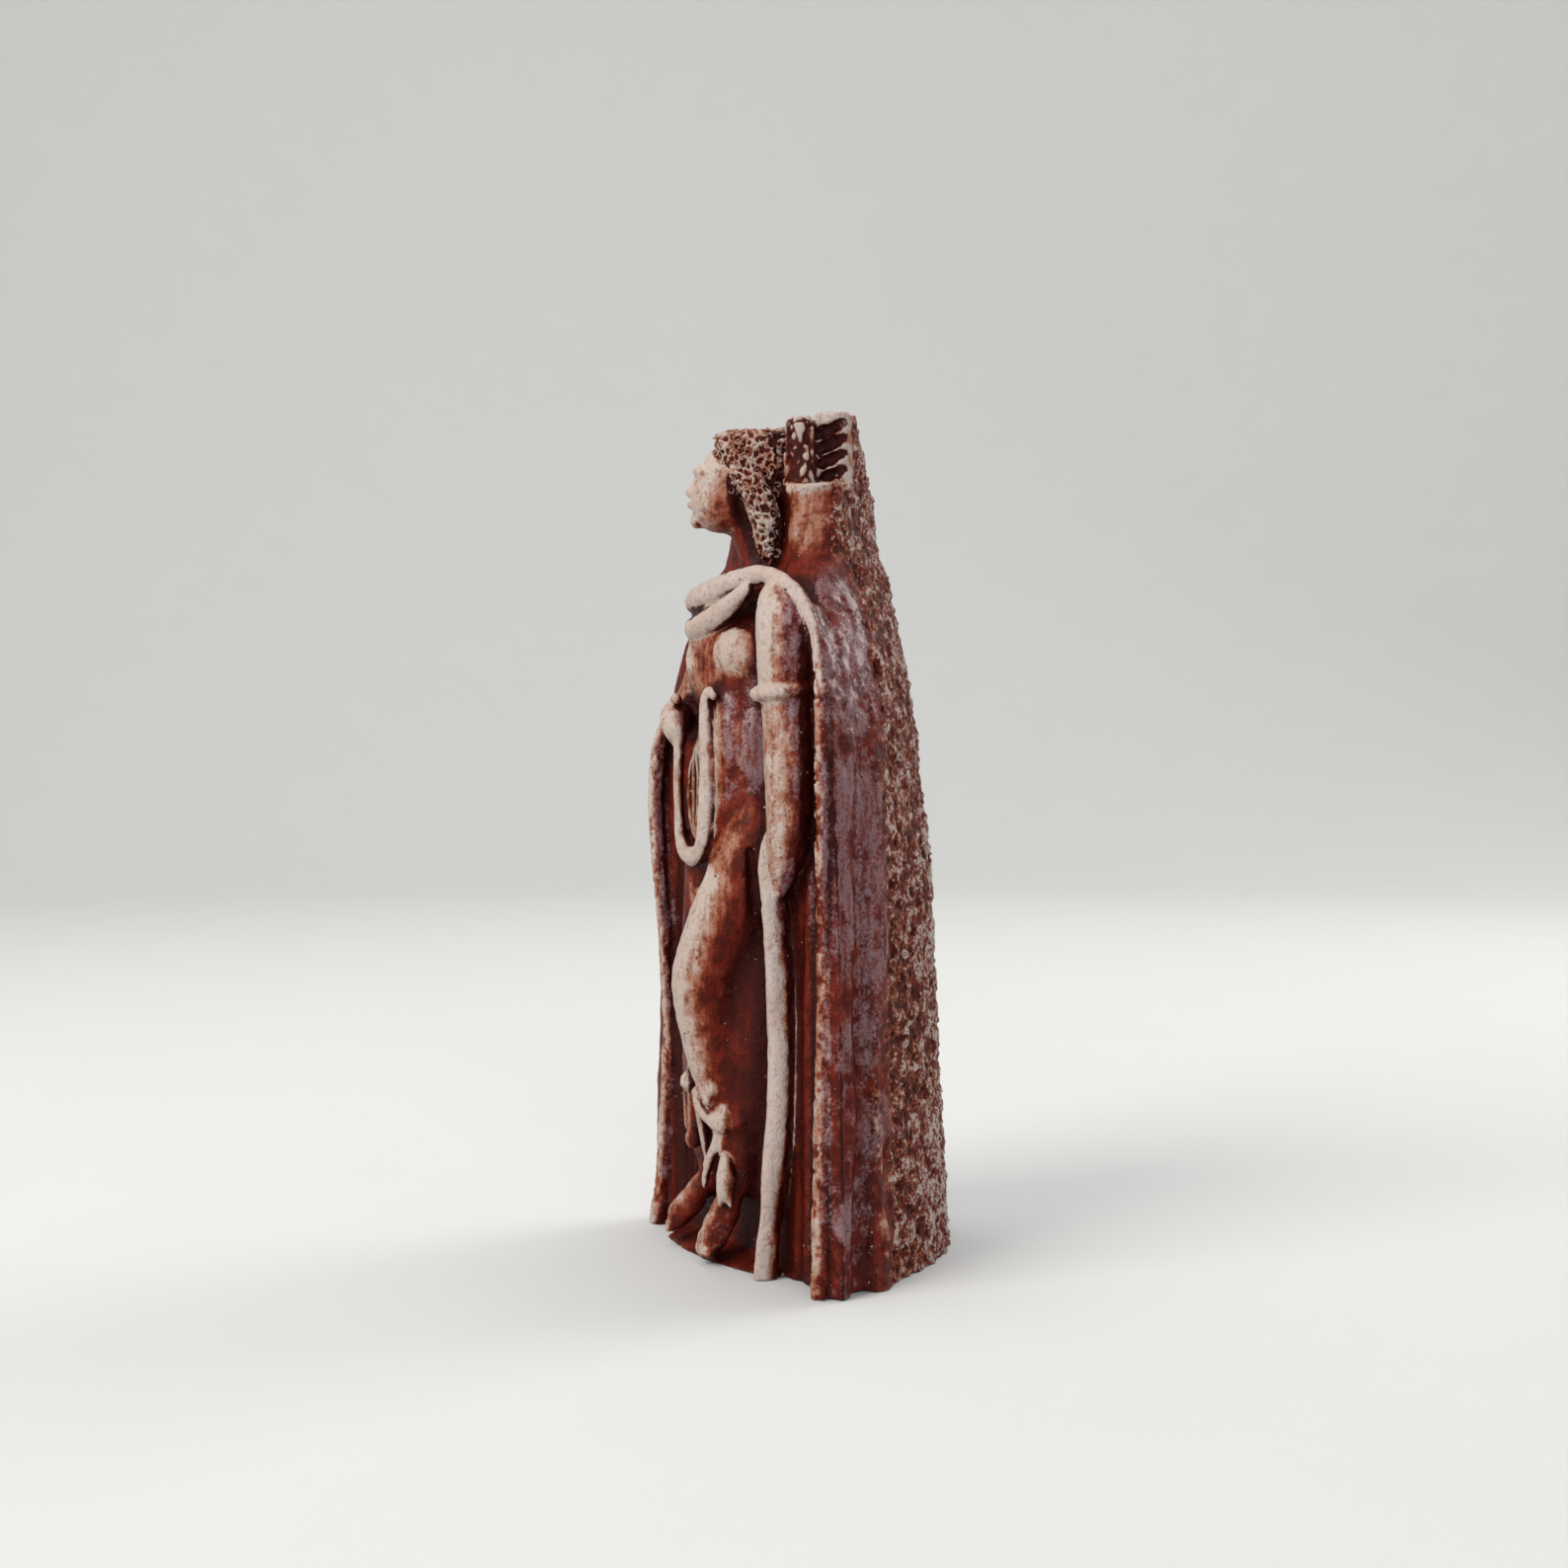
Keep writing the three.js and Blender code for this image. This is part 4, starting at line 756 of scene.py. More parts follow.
# Layers of relief: depth or share, size of a feature in mm and seed of each noise
LUMPS = [(0.10, 6, 1), (0.06, 2.2, 2)]
FINE_LUMPS = [(0.045, 0.7, 12)]
STREAKS = [(1.0, (1.0, 1.0, 8), 3), (0.6, (0.6, 0.6, 4), 4)]
COARSE_BACK = [(0.26, (1.6, 1.6, 2.0), 5), (0.30, 0.85, 6), (0.20, 0.5, 7)]
SIDE_LUMPS = [(0.16, (1.3, 1.3, 2.2), 18), (0.09, 0.65, 19)]
HEM_LUMPS = [(0.18, 1.4, 23), (0.14, 0.7, 24)]
FOOT_LUMPS = [(0.16, 1.6, 14), (0.10, 0.8, 15)]
RIDGE_BREAKS = [(1.0, (0.9, 0.9, 1.6), 21), (0.7, 0.45, 22)]
RAGGED_BREAKS = [(1.0, (0.8, 0.8, 1.4), 16)]
CHIPS = [(0.8, (0.7, 0.7, 1.1), 8), (0.7, 0.4, 9), (0.6, 6, 10)]
HAIR_LUMPS = [(0.1, 1.7, 34)]
ARROW_LUMPS = [(0.16, 0.8, 39)]
# Depths in mm: streaks, the ridge, the ragged edge, chips and curls, then barbs of the two arrows, and pits
# of the back and of the rest
STREAK_DEPTH, RIDGE_HEIGHT, RAGGED_DEPTH, CHIP_DEPTH, CURL_DEPTH = 0.07, 0.2, 0.3, 0.16, 0.36
BARB_DEPTHS = (0.40, 0.12)
PIT_DEPTHS = (0.5, 0.16)
# Size of the curls, barbs and pits, and the share of cells that have no pit
CURL_SIZE, BARB_SIZE, PIT_SIZE, NO_PIT = (0.95, 0.95, 1.05), (1.1, 1.1, 2.0), 1.6, 0.62
# Relief that counts as full, and how far off the surface its openness is felt
FULL_RELIEF = 0.25
OPEN_REACHES = (0.5, 1.0, 2.0, 4.0)
# A mask above this share decides between two finishes
CLEARLY = 0.3
# Where parts of the finish begin and end: the arrows in height and the gap between them, the chipped edge's
# top, the sides of the cloak, the streaks' top, and the top, rise, side and front of the painted sheen
ARROW_START, ARROW_GAP, EDGE_TOP, SIDE_START, STREAK_TOP = (85.8, 86.4), -4.75, 66, 13, (80, 70)
SHEEN_TOP, SHEEN_RISE, SHEEN_SIDE, SHEEN_FRONT = (78, 74), (12, 45), (12, 14), (30, 40)


def roughness_of(points):
    """1 on the coarse back of the cloak, 0 on its smooth folds and on the figure."""
    x, y, z = points.T
    wander = 1.2 * grain(points, (3, 3, 6), 11)
    back = ramp(y + wander, *BACK_START)
    upper = ramp(z, *UPPER_BACK_HEIGHTS) * ramp(y + wander + 0.3 * np.abs(x), *UPPER_BACK_START)
    return np.maximum(back, upper)


def rubbed_and_lit_forms():
    """Groups of forms that handling has rubbed, whose pale side also carries painted light from the
    front-left and above.

    Each has the way that its pale side faces, how squarely the surface must face that way to show pale, and
    how pale it gets.
    """
    head = [on_head(blob(row)) for row in (SKULL, JAW, CHIN)]
    head += [on_head(strand(rows)) for rows in (NOSE, BROWS, LIPS)]
    upper_arm = [row for row in LEFT_ARM if row[2] > MORE_RUBBED_ABOVE]
    forearm = [row for row in LEFT_ARM if row[2] < MORE_RUBBED_ABOVE]
    shoulder_edge = [row for row in LEFT_EDGE if row[2] > MORE_RUBBED_ABOVE]
    thigh, shin = LEFT_LEG[:2], LEFT_LEG[1:5]
    return [
        ([strand(UPPER_ROLL), strand(LOWER_ROLL)], LIGHT_AND_RUB_WAY, -0.25, 0.55),
        (head, HEAD_WAY, 0.10, 0.5),
        (lyre_halves(), LIGHT_AND_RUB_WAY, -0.2, 0.5),
        ([strand(upper_arm)], LIGHT_AND_RUB_WAY, 0.42, 0.55),
        ([strand(forearm)], LIGHT_AND_RUB_WAY, 0.2, 0.12),
        ([ring(*ARMLET)], LIGHT_AND_RUB_WAY, 0.0, 0.6),
        ([hanging_edge()], LIGHT_AND_RUB_WAY, -0.6, 0.8),
        ([blob(row, CHEST_TURN) for row in BREASTS], LIGHT_AND_RUB_WAY, 0.35, 0.45),
        ([blob(CHEST, CHEST_TURN)], LIGHT_AND_RUB_WAY, 0.8, 0.05),
        ([blob(BELLY)], LIGHT_AND_RUB_WAY, 0.85, -0.1),
        ([strand(BELLY_FOLD)], LIGHT_AND_RUB_WAY, 0.75, 0.05),
        ([blob(HIPS)], HIPS_WAY, 0.95, 0.0),
        ([strand(RIGHT_HAND), strand(THUMB)], LIGHT_AND_RUB_WAY, 0.1, 0.3),
        ([strand(RIGHT_ARM)], LIGHT_AND_RUB_WAY, 0.6, 0.1),
        ([strand(shin)], LIGHT_AND_RUB_WAY, 0.40, 0.75),
        ([strand(thigh)], LIGHT_AND_RUB_WAY, 0.65, -0.25),
        ([strand(LEFT_FOOT), strand(RIGHT_FOOT)], LIGHT_AND_RUB_WAY, 0.95, -0.25),
        ([ball(row) for row in TOES], LIGHT_AND_RUB_WAY, 0.45, 0.15),
        ([*map(blob, HEM_KNOTS), *map(strand, HEM_TAILS)], LIGHT_AND_RUB_WAY, -0.05, 0.35),
        ([blob(HEM_FOLD), blob(HEM_DRIP)], LIGHT_AND_RUB_WAY, 0.8, -0.1),
        ([strand(QUIVER)], LIGHT_AND_RUB_WAY, 0.2, -0.08),
        ([ring(*QUIVER_RIM)], LIGHT_AND_RUB_WAY, -0.2, 0.3),
        ([strand(RIGHT_EDGE)], LIGHT_AND_RUB_WAY, 0.35, 0.35),
        ([strand(shoulder_edge)], LIGHT_AND_RUB_WAY, -0.2, 0.4),
        ([strand(LEFT_EDGE)], LIGHT_AND_RUB_WAY, 0.25, -0.05),
        ([strand(rows) for rows in DRESS_FOLDS], LIGHT_AND_RUB_WAY, 0.8, 0.1),
    ]


class Skin:
    """The casting's surface: what each point lies on, its fine relief and the masks of its finish, painted
    shade and reflection among them.
    """

    def __init__(self, clay, points):
        self.clay = clay
        self.points = points
        self.normals = clay.normals(points, 0.3)
        self.find_parts()
        self.find_curls()
        self.find_barbs()
        self.shift = self.relief()

    def near(self, forms, reach):
        return nearness(self.points, forms, reach)

    def noise(self, layers):
        """Sum of the layers of noise."""
        return sum(depth * grain(self.points, size, seed) for depth, size, seed in layers)

    def bent(self, chosen, depth, size, seed):
        """The chosen points, pushed about by noise so that a pattern on them runs crooked."""
        points = self.points[chosen]
        return points + depth * np.stack([grain(points, size, seed + k) for k in range(3)], axis=1)

    def find_parts(self):
        """Masks of the hair, the arrows, the coarse back and the worn edges."""
        across, behind, _ = self.normals.T
        height = self.points[:, 2]
        self.hair = self.near(hair_forms(), 0.6)
        arrows = self.near([form for form, _ in arrow_ends()], 0.7) * ramp(height, *ARROW_START)
        self.arrows = arrows * ramp(behind, 0.55, 0.2)
        self.front_arrow = self.points[:, 1] < ARROW_GAP
        self.rough = roughness_of(self.points) * (1 - self.arrows) * (1 - self.hair)
        self.board = self.near([blob(SOUND_BOARD)], 0.5)
        self.edge = self.near([strand(LEFT_EDGE), strand(RIGHT_EDGE)], 0.7) * (height < EDGE_TOP)
        self.chips = ramp(self.noise(CHIPS), 0.05, 0.5)
        self.ragged = self.near([hanging_edge()], 0.5) * ramp(0.53 * across + 0.85 * behind, 0.35, 0.75)
        self.ridge = self.near([strand(RIDGE, (RIDGE_REACH, 1, 1))], 0.6)
        self.ridge *= ramp(self.noise(RIDGE_BREAKS), -0.4, 0.3)

    def find_curls(self):
        """1 on the curls of the hair, 0 between them."""
        chosen = np.flatnonzero(self.hair > 0.01)
        first, second, _ = cell_gaps(self.bent(chosen, 0.3, 0.9, 30), CURL_SIZE, 40)
        self.curl = np.zeros(len(self.points))
        self.curl[chosen] = 1 - ramp(second - first, 0.06, 0.26)

    def find_barbs(self):
        """1 on the barbs of the arrows, and 1 in the slots of the second one."""
        chosen = np.flatnonzero(self.arrows > 0.01)
        first, second, _ = cell_gaps(self.bent(chosen, 0.35, 0.8, 35), BARB_SIZE, 50)
        self.barb = np.zeros(len(self.points))
        self.barb[chosen] = ramp(second - first, 0.06, 0.4)
        self.slot = np.zeros(len(self.points))
        self.slot[chosen] = nearness(self.points[chosen], arrow_slots(), 0.14)

    def pits(self):
        """Depth of the pits, which are wider on the back."""
        gap, _, lot = cell_gaps(self.points + 0.25 * grain(self.points, 0.8, 13)[:, None], PIT_SIZE, 20)
        depth = np.where(self.rough > 0.4, *PIT_DEPTHS) * (lot > NO_PIT)
        return depth * ramp(gap, 0.1 + 0.22 * lot, 0.02 + 0.1 * lot)

    def relief(self):
        """Fine relief along the normals, in mm."""
        x, y, z = self.points.T
        smooth = 1 - self.rough
        side = ramp(np.abs(self.normals[:, 0]), 0.5, 0.85) * (y < 0) * (np.abs(x) > SIDE_START) * smooth
        hem = self.near([blob(row) for row in [*HEM_KNOTS, HEM_FOLD, HEM_DRIP]], 0.8)
        feet = self.near([strand(LEFT_FOOT), strand(RIGHT_FOOT), blob(HEM_FOLD)], 0.6)
        shift = self.noise(LUMPS)
        shift += STREAK_DEPTH * self.noise(STREAKS) * ramp(z, *STREAK_TOP) * smooth
        shift += self.noise(FINE_LUMPS)
        shift += self.rough * self.noise(COARSE_BACK)
        shift += hem * self.noise(HEM_LUMPS)
        shift += feet * self.noise(FOOT_LUMPS)
        shift += side * self.noise(SIDE_LUMPS)
        shift += RIDGE_HEIGHT * self.ridge
        shift -= self.ragged * RAGGED_DEPTH * ramp(self.noise(RAGGED_BREAKS), 0.0, 0.35)
        shift -= self.pits()
        shift -= self.edge * CHIP_DEPTH * self.chips
        shift += self.hair * (CURL_DEPTH * self.curl - CURL_DEPTH + self.noise(HAIR_LUMPS))
        barbs = (self.barb - 0.6) * np.where(self.front_arrow, *BARB_DEPTHS)
        shift += self.arrows * (barbs + self.noise(ARROW_LUMPS))
        return shift

    def wear(self, relief):
        """How far the clay shows pale: rubbed on raised places, with painted light on sides facing the
        front-left and up.
        """
        clay, points = self.clay, self.points
        lift = clay.at(points, clay.smoothed(2, 2, 2), 2) + 0.5 * clay.at(points, clay.smoothed(4, 3, 2), 4)
        wear = np.full(len(points), UNRUBBED)
        for forms, way, least, most in rubbed_and_lit_forms():
            way = math.radians(way)
            # Sides facing the front-left and up, toward the key lamp, get paler: partly rubbing, partly
            # painted light
            facing = -math.sin(way) * self.normals[:, 0] - math.cos(way) * self.normals[:, 1]
            facing = facing + 0.2 * self.normals[:, 2]
            palest = np.clip(1.35 * (facing - least), UNRUBBED, most)
            wear = np.maximum(wear, UNRUBBED + (palest - UNRUBBED) * self.near(forms, 0.5))
        wear += (0.25 * (np.clip(lift, -0.6, 1) - 0.3) + 0.30 * relief
                 - 0.4 * self.edge * self.chips - 0.5 * self.ragged)
        wear = np.maximum(wear, UNRUBBED + 0.9 * self.ridge)
        curls = 1.3 * self.curl - 0.85 + 0.5 * grain(points, 2.5, 33)
        wear = np.where(self.hair > CLEARLY, curls, wear)
        quills = np.where(self.front_arrow, 1.0 * self.barb - 0.3, 0.35 - 1.0 * self.slot)
        wear = np.where(self.arrows > CLEARLY, quills + 0.6 * grain(points, 1.2, 38), wear)
        return np.where(self.board > CLEARLY, wear - 1.0, wear)

    def hollow(self):
        """How deep in a recess the surface lies: where the wash gathers and where shade is painted in."""
        open_share = 0
        for reach in OPEN_REACHES:
            height = self.clay.at(self.points + reach * self.normals) / reach
            open_share = open_share + np.clip(height, -0.2, 1) / len(OPEN_REACHES)
        # Painted shade between the hair's curls and on the sound board behind the strings
        hollow = 1 - open_share + 0.35 * self.hair * (1 - self.curl) + 0.4 * self.board
        quills = np.where(self.front_arrow, 0.1 + 0.35 * (1 - self.barb), 0.12 + 0.6 * self.slot)
        hollow = np.where(self.arrows > CLEARLY, quills, hollow)
        # Painted shade in the nape, the groove between the rolls and the hollows beside the body
        hollow += 0.7 * self.near([on_head(strand(NAPE_HOLLOW))], 0.5) * (1 - self.hair)
        hollow += 0.7 * self.near([strand(ROLL_GROOVE)], 0.3)
        hollow += 0.4 * self.near([strand(RIGHT_HOLLOW)], 0.8) + 0.1 * self.near([strand(LEFT_HOLLOW)], 0.8)
        # Less painted shade near the foot of the casting
        return hollow * (1 - 0.45 * self.near([blob(GROUND)], 0.8))

    def sheen(self, hollow):
        """Painted violet sheen, a reflection on smooth folds facing +X on the figure's left, the belly and
        one glossy spot.
        """
        x, _, z = self.points.T
        across, behind, _ = self.normals.T
        legs = self.near([strand(LEFT_LEG), strand(RIGHT_LEG), skirt()], 1.0)
        sheen = ramp(across - 0.2 * behind, 0.35, 0.95) * (1 - self.rough) * (1 - 0.85 * legs)
        sheen *= ramp(hollow, 0.55, 0.3)
        sheen *= np.maximum(ramp(np.abs(x), *SHEEN_SIDE), ramp(z, *SHEEN_FRONT))
        sheen *= ramp(z, *SHEEN_TOP) * (0.6 + 0.4 * ramp(z, *SHEEN_RISE))
        sheen += 0.3 * self.near([blob(BELLY)], 1.2) * ramp(across, 0.1, 0.7)
        return np.minimum(sheen + 1.2 * self.near([blob(GLOSS_AND_REFLECTION)], 0.8), 1.3)

    def masks(self):
        """Values that the finish and the scattered pieces read at each point."""
        relief = np.clip(self.shift / FULL_RELIEF, -1, 1)
        hollow = self.hollow()
        rough = self.rough * (0.55 + 0.45 * ramp(self.points[:, 1] + 2 * grain(self.points, 4, 17), -1, 9))
        return {"wear": self.wear(relief), "hollow": hollow, "rough": rough, "relief": relief,
                "sheen": self.sheen(hollow), "hair": self.hair}


def settings():
    """The sizes, counts and colours of the scene."""
    return bpy.context.scene.figurine


def link_piece(name, mesh):
    """A new object at the origin that shows the mesh."""
    piece = bpy.data.objects.new(name, mesh)
    bpy.context.scene.collection.objects.link(piece)
    return piece


def make_plain(piece):
    """Carries out the piece's modifiers and removes them."""
    graph = bpy.context.evaluated_depsgraph_get()
    mesh = bpy.data.meshes.new_from_object(piece.evaluated_get(graph), depsgraph=graph)
    piece.modifiers.clear()
    old = piece.data
    piece.data = mesh
    name = old.name
    bpy.data.meshes.remove(old)
    mesh.name = name


def shade_smooth(mesh):
    """Shades all faces smoothly."""
    mesh.polygons.foreach_set("use_smooth", np.ones(len(mesh.polygons), dtype=bool))


def settle(piece):
    """Attaches a piece of the casting to the root body."""
    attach(piece, "root")


def socket(tree, name, side, kind="NodeSocketFloat", default=None):
    """Adds a named input or output to a node group."""
    item = tree.interface.new_socket(name=name, in_out=side, socket_type=kind)
    if default is not None:
        item.default_value = default


class Nodes:
    """Short ways to add nodes to a tree."""

    def __init__(self, tree):
        self.tree = tree

    def add(self, kind, inputs=(), **values):
        node = self.tree.nodes.new(kind)
        for key, value in values.items():
            setattr(node, key, value)
        for key, value in dict(inputs).items():
            if isinstance(value, bpy.types.NodeSocket):
                self.tree.links.new(value, node.inputs[key])
            else:
                node.inputs[key].default_value = value
        return node

    def math(self, operation, a, b=0.0, clamp=False):
        return self.add("ShaderNodeMath", {0: a, 1: b}, operation=operation, use_clamp=clamp).outputs[0]

    def total(self, *values):
        result = values[0]
        for value in values[1:]:
            result = self.math("ADD", result, value)
        return result

    def times(self, *values):
        result = values[0]
        for value in values[1:]:
            result = self.math("MULTIPLY", result, value)
        return result

    def minus(self, a, b):
        return self.math("SUBTRACT", a, b)

    def swing(self, value, size):
        """Noise about zero."""
        return self.times(self.minus(value, 0.5), size)

    def step(self, value, low, high):
        """0 below low, 1 above high, smooth between them."""
        inputs = {"Value": value, "From Min": low, "From Max": high}
        return self.add("ShaderNodeMapRange", inputs, interpolation_type="SMOOTHSTEP").outputs[0]

    def mix(self, share, a, b):
        """From colour a to colour b, the sockets 6 and 7 of the node, by the share."""
        inputs = {"Factor": share, 6: a, 7: b}
        return self.add("ShaderNodeMix", inputs, data_type="RGBA").outputs[2]

    def scaled(self, vector, factors):
        return self.add("ShaderNodeVectorMath", {0: vector, 1: factors}, operation="MULTIPLY").outputs[0]

    def noise(self, vector, scale, detail=3.0, roughness=0.55):
        inputs = {"Vector": vector, "Scale": scale, "Detail": detail, "Roughness": roughness}
        return self.add("ShaderNodeTexNoise", inputs).outputs[0]

    def cells(self, vector, scale):
        """Distance to the nearest of scattered centres, and three chances of that centre."""
        node = self.add("ShaderNodeTexVoronoi", {"Vector": vector, "Scale": scale})
        lots = self.add("ShaderNodeSeparateColor", {0: node.outputs["Color"]}).outputs
        return node.outputs["Distance"], lots


# Masks of the clay with their usual values, and its colours
MASKS = {"Wear": 0.0, "Hollow": 0.2, "Rough": 0.0, "Relief": 0.0, "Sheen": 0.0}
COLOURS = ("Deep", "Stain", "Warm", "Violet", "Beige", "Cream")
# Rubbing and painted light at which each tone begins and is full
WARM_RUB, BEIGE_RUB, CREAM_RUB = (-0.65, 0.05), (-0.35, 0.2), (0.0, 0.5)
# Recess at which the wash and painted shade take the rubbing away, and at which the painted shade is darkest
KEPT_WASH, WASH_AND_SHADE = (0.2, 0.65), (0.10, 0.46)
# Coarseness at which the back's finish begins and is full, and the noise sums of its flecks
COARSE = (0.05, 0.5)
DUST_FLECKS, PALE_FLECKS, DARK_FLECKS = (0.515, 0.585), (0.575, 0.602), (0.475, 0.41)
# Cells in each mm of the specks and pores
SPECK_SCALE, PORE_SCALE = 1.0, 0.72
# Coat and bump of the finish, the bump's height in metres
COAT_ROUGHNESS, SPECULAR_LEVEL, BUMP_STRENGTH, BUMP_HEIGHT = 0.28, 0.1, 0.9, 0.0003


class RubbedClay(Nodes):
    """Shader group of stained clay rubbed pale on raised parts, flecked on its coarse parts, with painted
    shade, light and reflection.
    """

    def __init__(self):
        super().__init__(bpy.data.node_groups.new("rubbed_clay", "ShaderNodeTree"))
        for name, default in MASKS.items():
            socket(self.tree, name, "INPUT", default=default)
        for name in COLOURS:
            socket(self.tree, name, "INPUT", "NodeSocketColor")
        socket(self.tree, "Color", "OUTPUT", "NodeSocketColor")
        for name in ("Roughness", "Coat", "Height"):
            socket(self.tree, name, "OUTPUT")
        self.given = self.add("NodeGroupInput").outputs
        self.make_patterns()
        colour = self.wash()
        colour = self.painted_reflection(colour)
        colour = self.rub_and_light(colour)
        colour = self.coarse_back(colour)
        colour = self.dirt(colour)
        colour = self.specks(colour)
        self.finish(colour)

    def over(self, colour, name, *shares):
        """One of the given colours laid over the colour, by the product of the shares."""
        return self.mix(self.times(*shares), colour, self.given[name])

    def make_patterns(self):
        """Noises in mm, and how pale the surface is from rubbing and painted light, less in recesses under
        painted shade.
        """
        self.place = self.scaled(self.add("ShaderNodeTexCoord").outputs["Object"], (1 / MM, 1 / MM, 1 / MM))
        self.broad = self.noise(self.place, 0.20, 4)
        self.patch = self.noise(self.place, 0.65, 4)
        self.fine = self.noise(self.place, 3.0, 4)
        self.streak = self.noise(self.scaled(self.place, (1, 1, 0.16)), 1.6, 3)
        self.grit = self.noise(self.scaled(self.place, (1, 1, 0.8)), 2.1, 5, 0.72)
        rub_and_light = self.total(self.given["Wear"], self.swing(self.patch, 1.2), self.swing(self.streak, 0.8),
                         self.swing(self.fine, 0.6), self.swing(self.broad, 0.8))
        rub_and_light = self.minus(rub_and_light, self.times(self.step(self.given["Hollow"], *KEPT_WASH), 0.9))
        self.warm = self.step(rub_and_light, *WARM_RUB)
        self.beige = self.step(rub_and_light, *BEIGE_RUB)
        self.cream = self.step(rub_and_light, *CREAM_RUB)
        self.coarse = self.step(self.given["Rough"], *COARSE)

    def wash(self):
        """Red-brown wash, darkened by painted shade in recesses, and lighter where rubbed thin and where
        light is painted.
        """
        given = self.given
        recess = self.total(given["Hollow"], self.swing(self.broad, 0.5), self.swing(self.patch, 0.4))
        shade = self.step(recess, *WASH_AND_SHADE)
        pooled = self.step(self.total(self.patch, self.swing(self.streak, 0.5)), 0.38, 0.58)
        colour = self.mix(pooled, given["Deep"], given["Stain"])
        colour = self.over(colour, "Stain", 0.35)
        # Painted shade: recesses darken toward the deep tone
        colour = self.over(colour, "Deep", shade, 0.88)
        # Lighter wash on rubbed and painted-lit places, kept out of the painted shade
        return self.over(colour, "Warm", self.warm, self.minus(1.0, shade), 0.75)

    def painted_reflection(self, colour):
        """Painted violet reflection on the smooth folds, with chalky marks."""
        given = self.given
        reflection_share = self.total(given["Sheen"], self.swing(self.broad, 3.0), self.swing(self.patch, 2.0),
                          self.swing(self.fine, 1.6))
        self.reflection_share = self.step(reflection_share, 0.5, 1.2)
        reflection_streaks = self.step(self.total(self.streak, self.swing(self.fine, 0.9)), 0.34, 0.62)
        painted_reflection = self.mix(reflection_streaks, given["Stain"], given["Violet"])
        # Painted reflection laid over the colour
        colour = self.mix(self.times(self.reflection_share, 0.9), colour, painted_reflection)
        chalk = self.step(self.total(self.grit, self.swing(self.patch, 0.5)), 0.56, 0.72)
        return self.over(colour, "Beige", given["Sheen"], 0.5, chalk)

    def rub_and_light(self, colour):
        """Clay that shows where the wash is rubbed thin and off, and where light is painted on sides facing
        the front-left.
        """
        colour = self.over(colour, "Beige", self.beige, 0.7)
        bare = self.total(0.78, self.swing(self.broad, 0.8), self.swing(self.fine, 0.5))
        return self.over(colour, "Cream", self.cream, bare)

    def coarse_back(self, colour):
        """Earth tones and flecks of the coarse back."""
        given = self.given
        ground = self.step(self.total(self.patch, self.swing(self.grit, 0.8)), 0.40, 0.66)
        earth = self.mix(ground, given["Stain"], given["Warm"])
        colour = self.mix(self.times(self.coarse, 0.8), colour, earth)
        self.fleck_sum = self.total(
            self.grit, self.swing(self.patch, 0.45), self.times(given["Relief"], 0.08),
            self.times(self.minus(given["Rough"], 0.75), 0.10))
        self.fleck = self.step(self.fleck_sum, *PALE_FLECKS)
        colour = self.over(colour, "Beige", self.step(self.fleck_sum, *DUST_FLECKS), 0.6, self.coarse)
        colour = self.over(colour, "Cream", self.fleck, 0.95, self.coarse)
        return self.over(colour, "Deep", self.step(self.fleck_sum, *DARK_FLECKS), 0.85, self.coarse)

    def dirt(self, colour):
        """Dirt in patches, thinner on bare clay."""
        patches = self.total(self.noise(self.place, 1.9, 4, 0.65), self.swing(self.streak, 0.3))
        share = self.times(self.step(patches, 0.47, 0.36), self.minus(0.6, self.times(self.cream, 0.35)))
        return self.mix(share, colour, self.mix(0.5, self.given["Stain"], self.given["Deep"]))

    def specks(self, colour):
        """Pale specks and dark pores."""
        gap, lots = self.cells(self.place, SPECK_SCALE)
        size = self.total(self.times(self.given["Rough"], 0.14), 0.10)
        size = self.times(self.step(lots[0], 0.62, 1.0), size)
        gap = self.total(gap, self.swing(self.fine, 0.35))
        self.speck = self.step(self.minus(size, gap), -0.02, 0.03)
        colour = self.over(colour, "Cream", self.speck, 0.9)
        gap, lots = self.cells(self.place, PORE_SCALE)
        size = self.times(self.step(lots[1], 0.5, 1.0), 0.11)
        gap = self.total(gap, self.swing(self.fine, 0.2))
        self.pore = self.step(self.minus(size, gap), -0.01, 0.02)
        return self.over(colour, "Deep", self.pore, 0.9)

    def finish(self, colour):
        """The group's outputs: dull pale clay, a thin coat on the wash, and the fine height of the grain."""
        rough = self.given["Rough"]
        pale = self.math("MAXIMUM", self.cream, self.speck)
        pale = self.math("MAXIMUM", pale, self.times(self.fleck, rough))
        dull = self.total(self.times(pale, 0.26), self.times(self.fine, 0.22), 0.30, self.times(rough, 0.14))
        glaze = self.total(0.06, self.times(self.reflection_share, 0.9))
        coat = self.math("MULTIPLY", self.minus(1.0, pale), glaze, True)
        coat = self.times(coat, self.total(self.times(self.minus(1.0, rough), 0.6), 0.4))
        height = self.total(
            self.times(self.fine, 0.7), self.times(self.streak, 0.35),
            self.times(self.fleck_sum, self.total(0.25, self.times(rough, 1.2))),
            self.times(self.speck, 0.3), self.times(self.cream, 0.12),
            self.times(self.patch, self.times(self.given["Sheen"], 0.9)))
        height = self.minus(height, self.times(self.pore, 0.8))
        self.add("NodeGroupOutput", {
            "Color": colour, "Roughness": dull, "Coat": self.times(coat, 0.7), "Height": height})


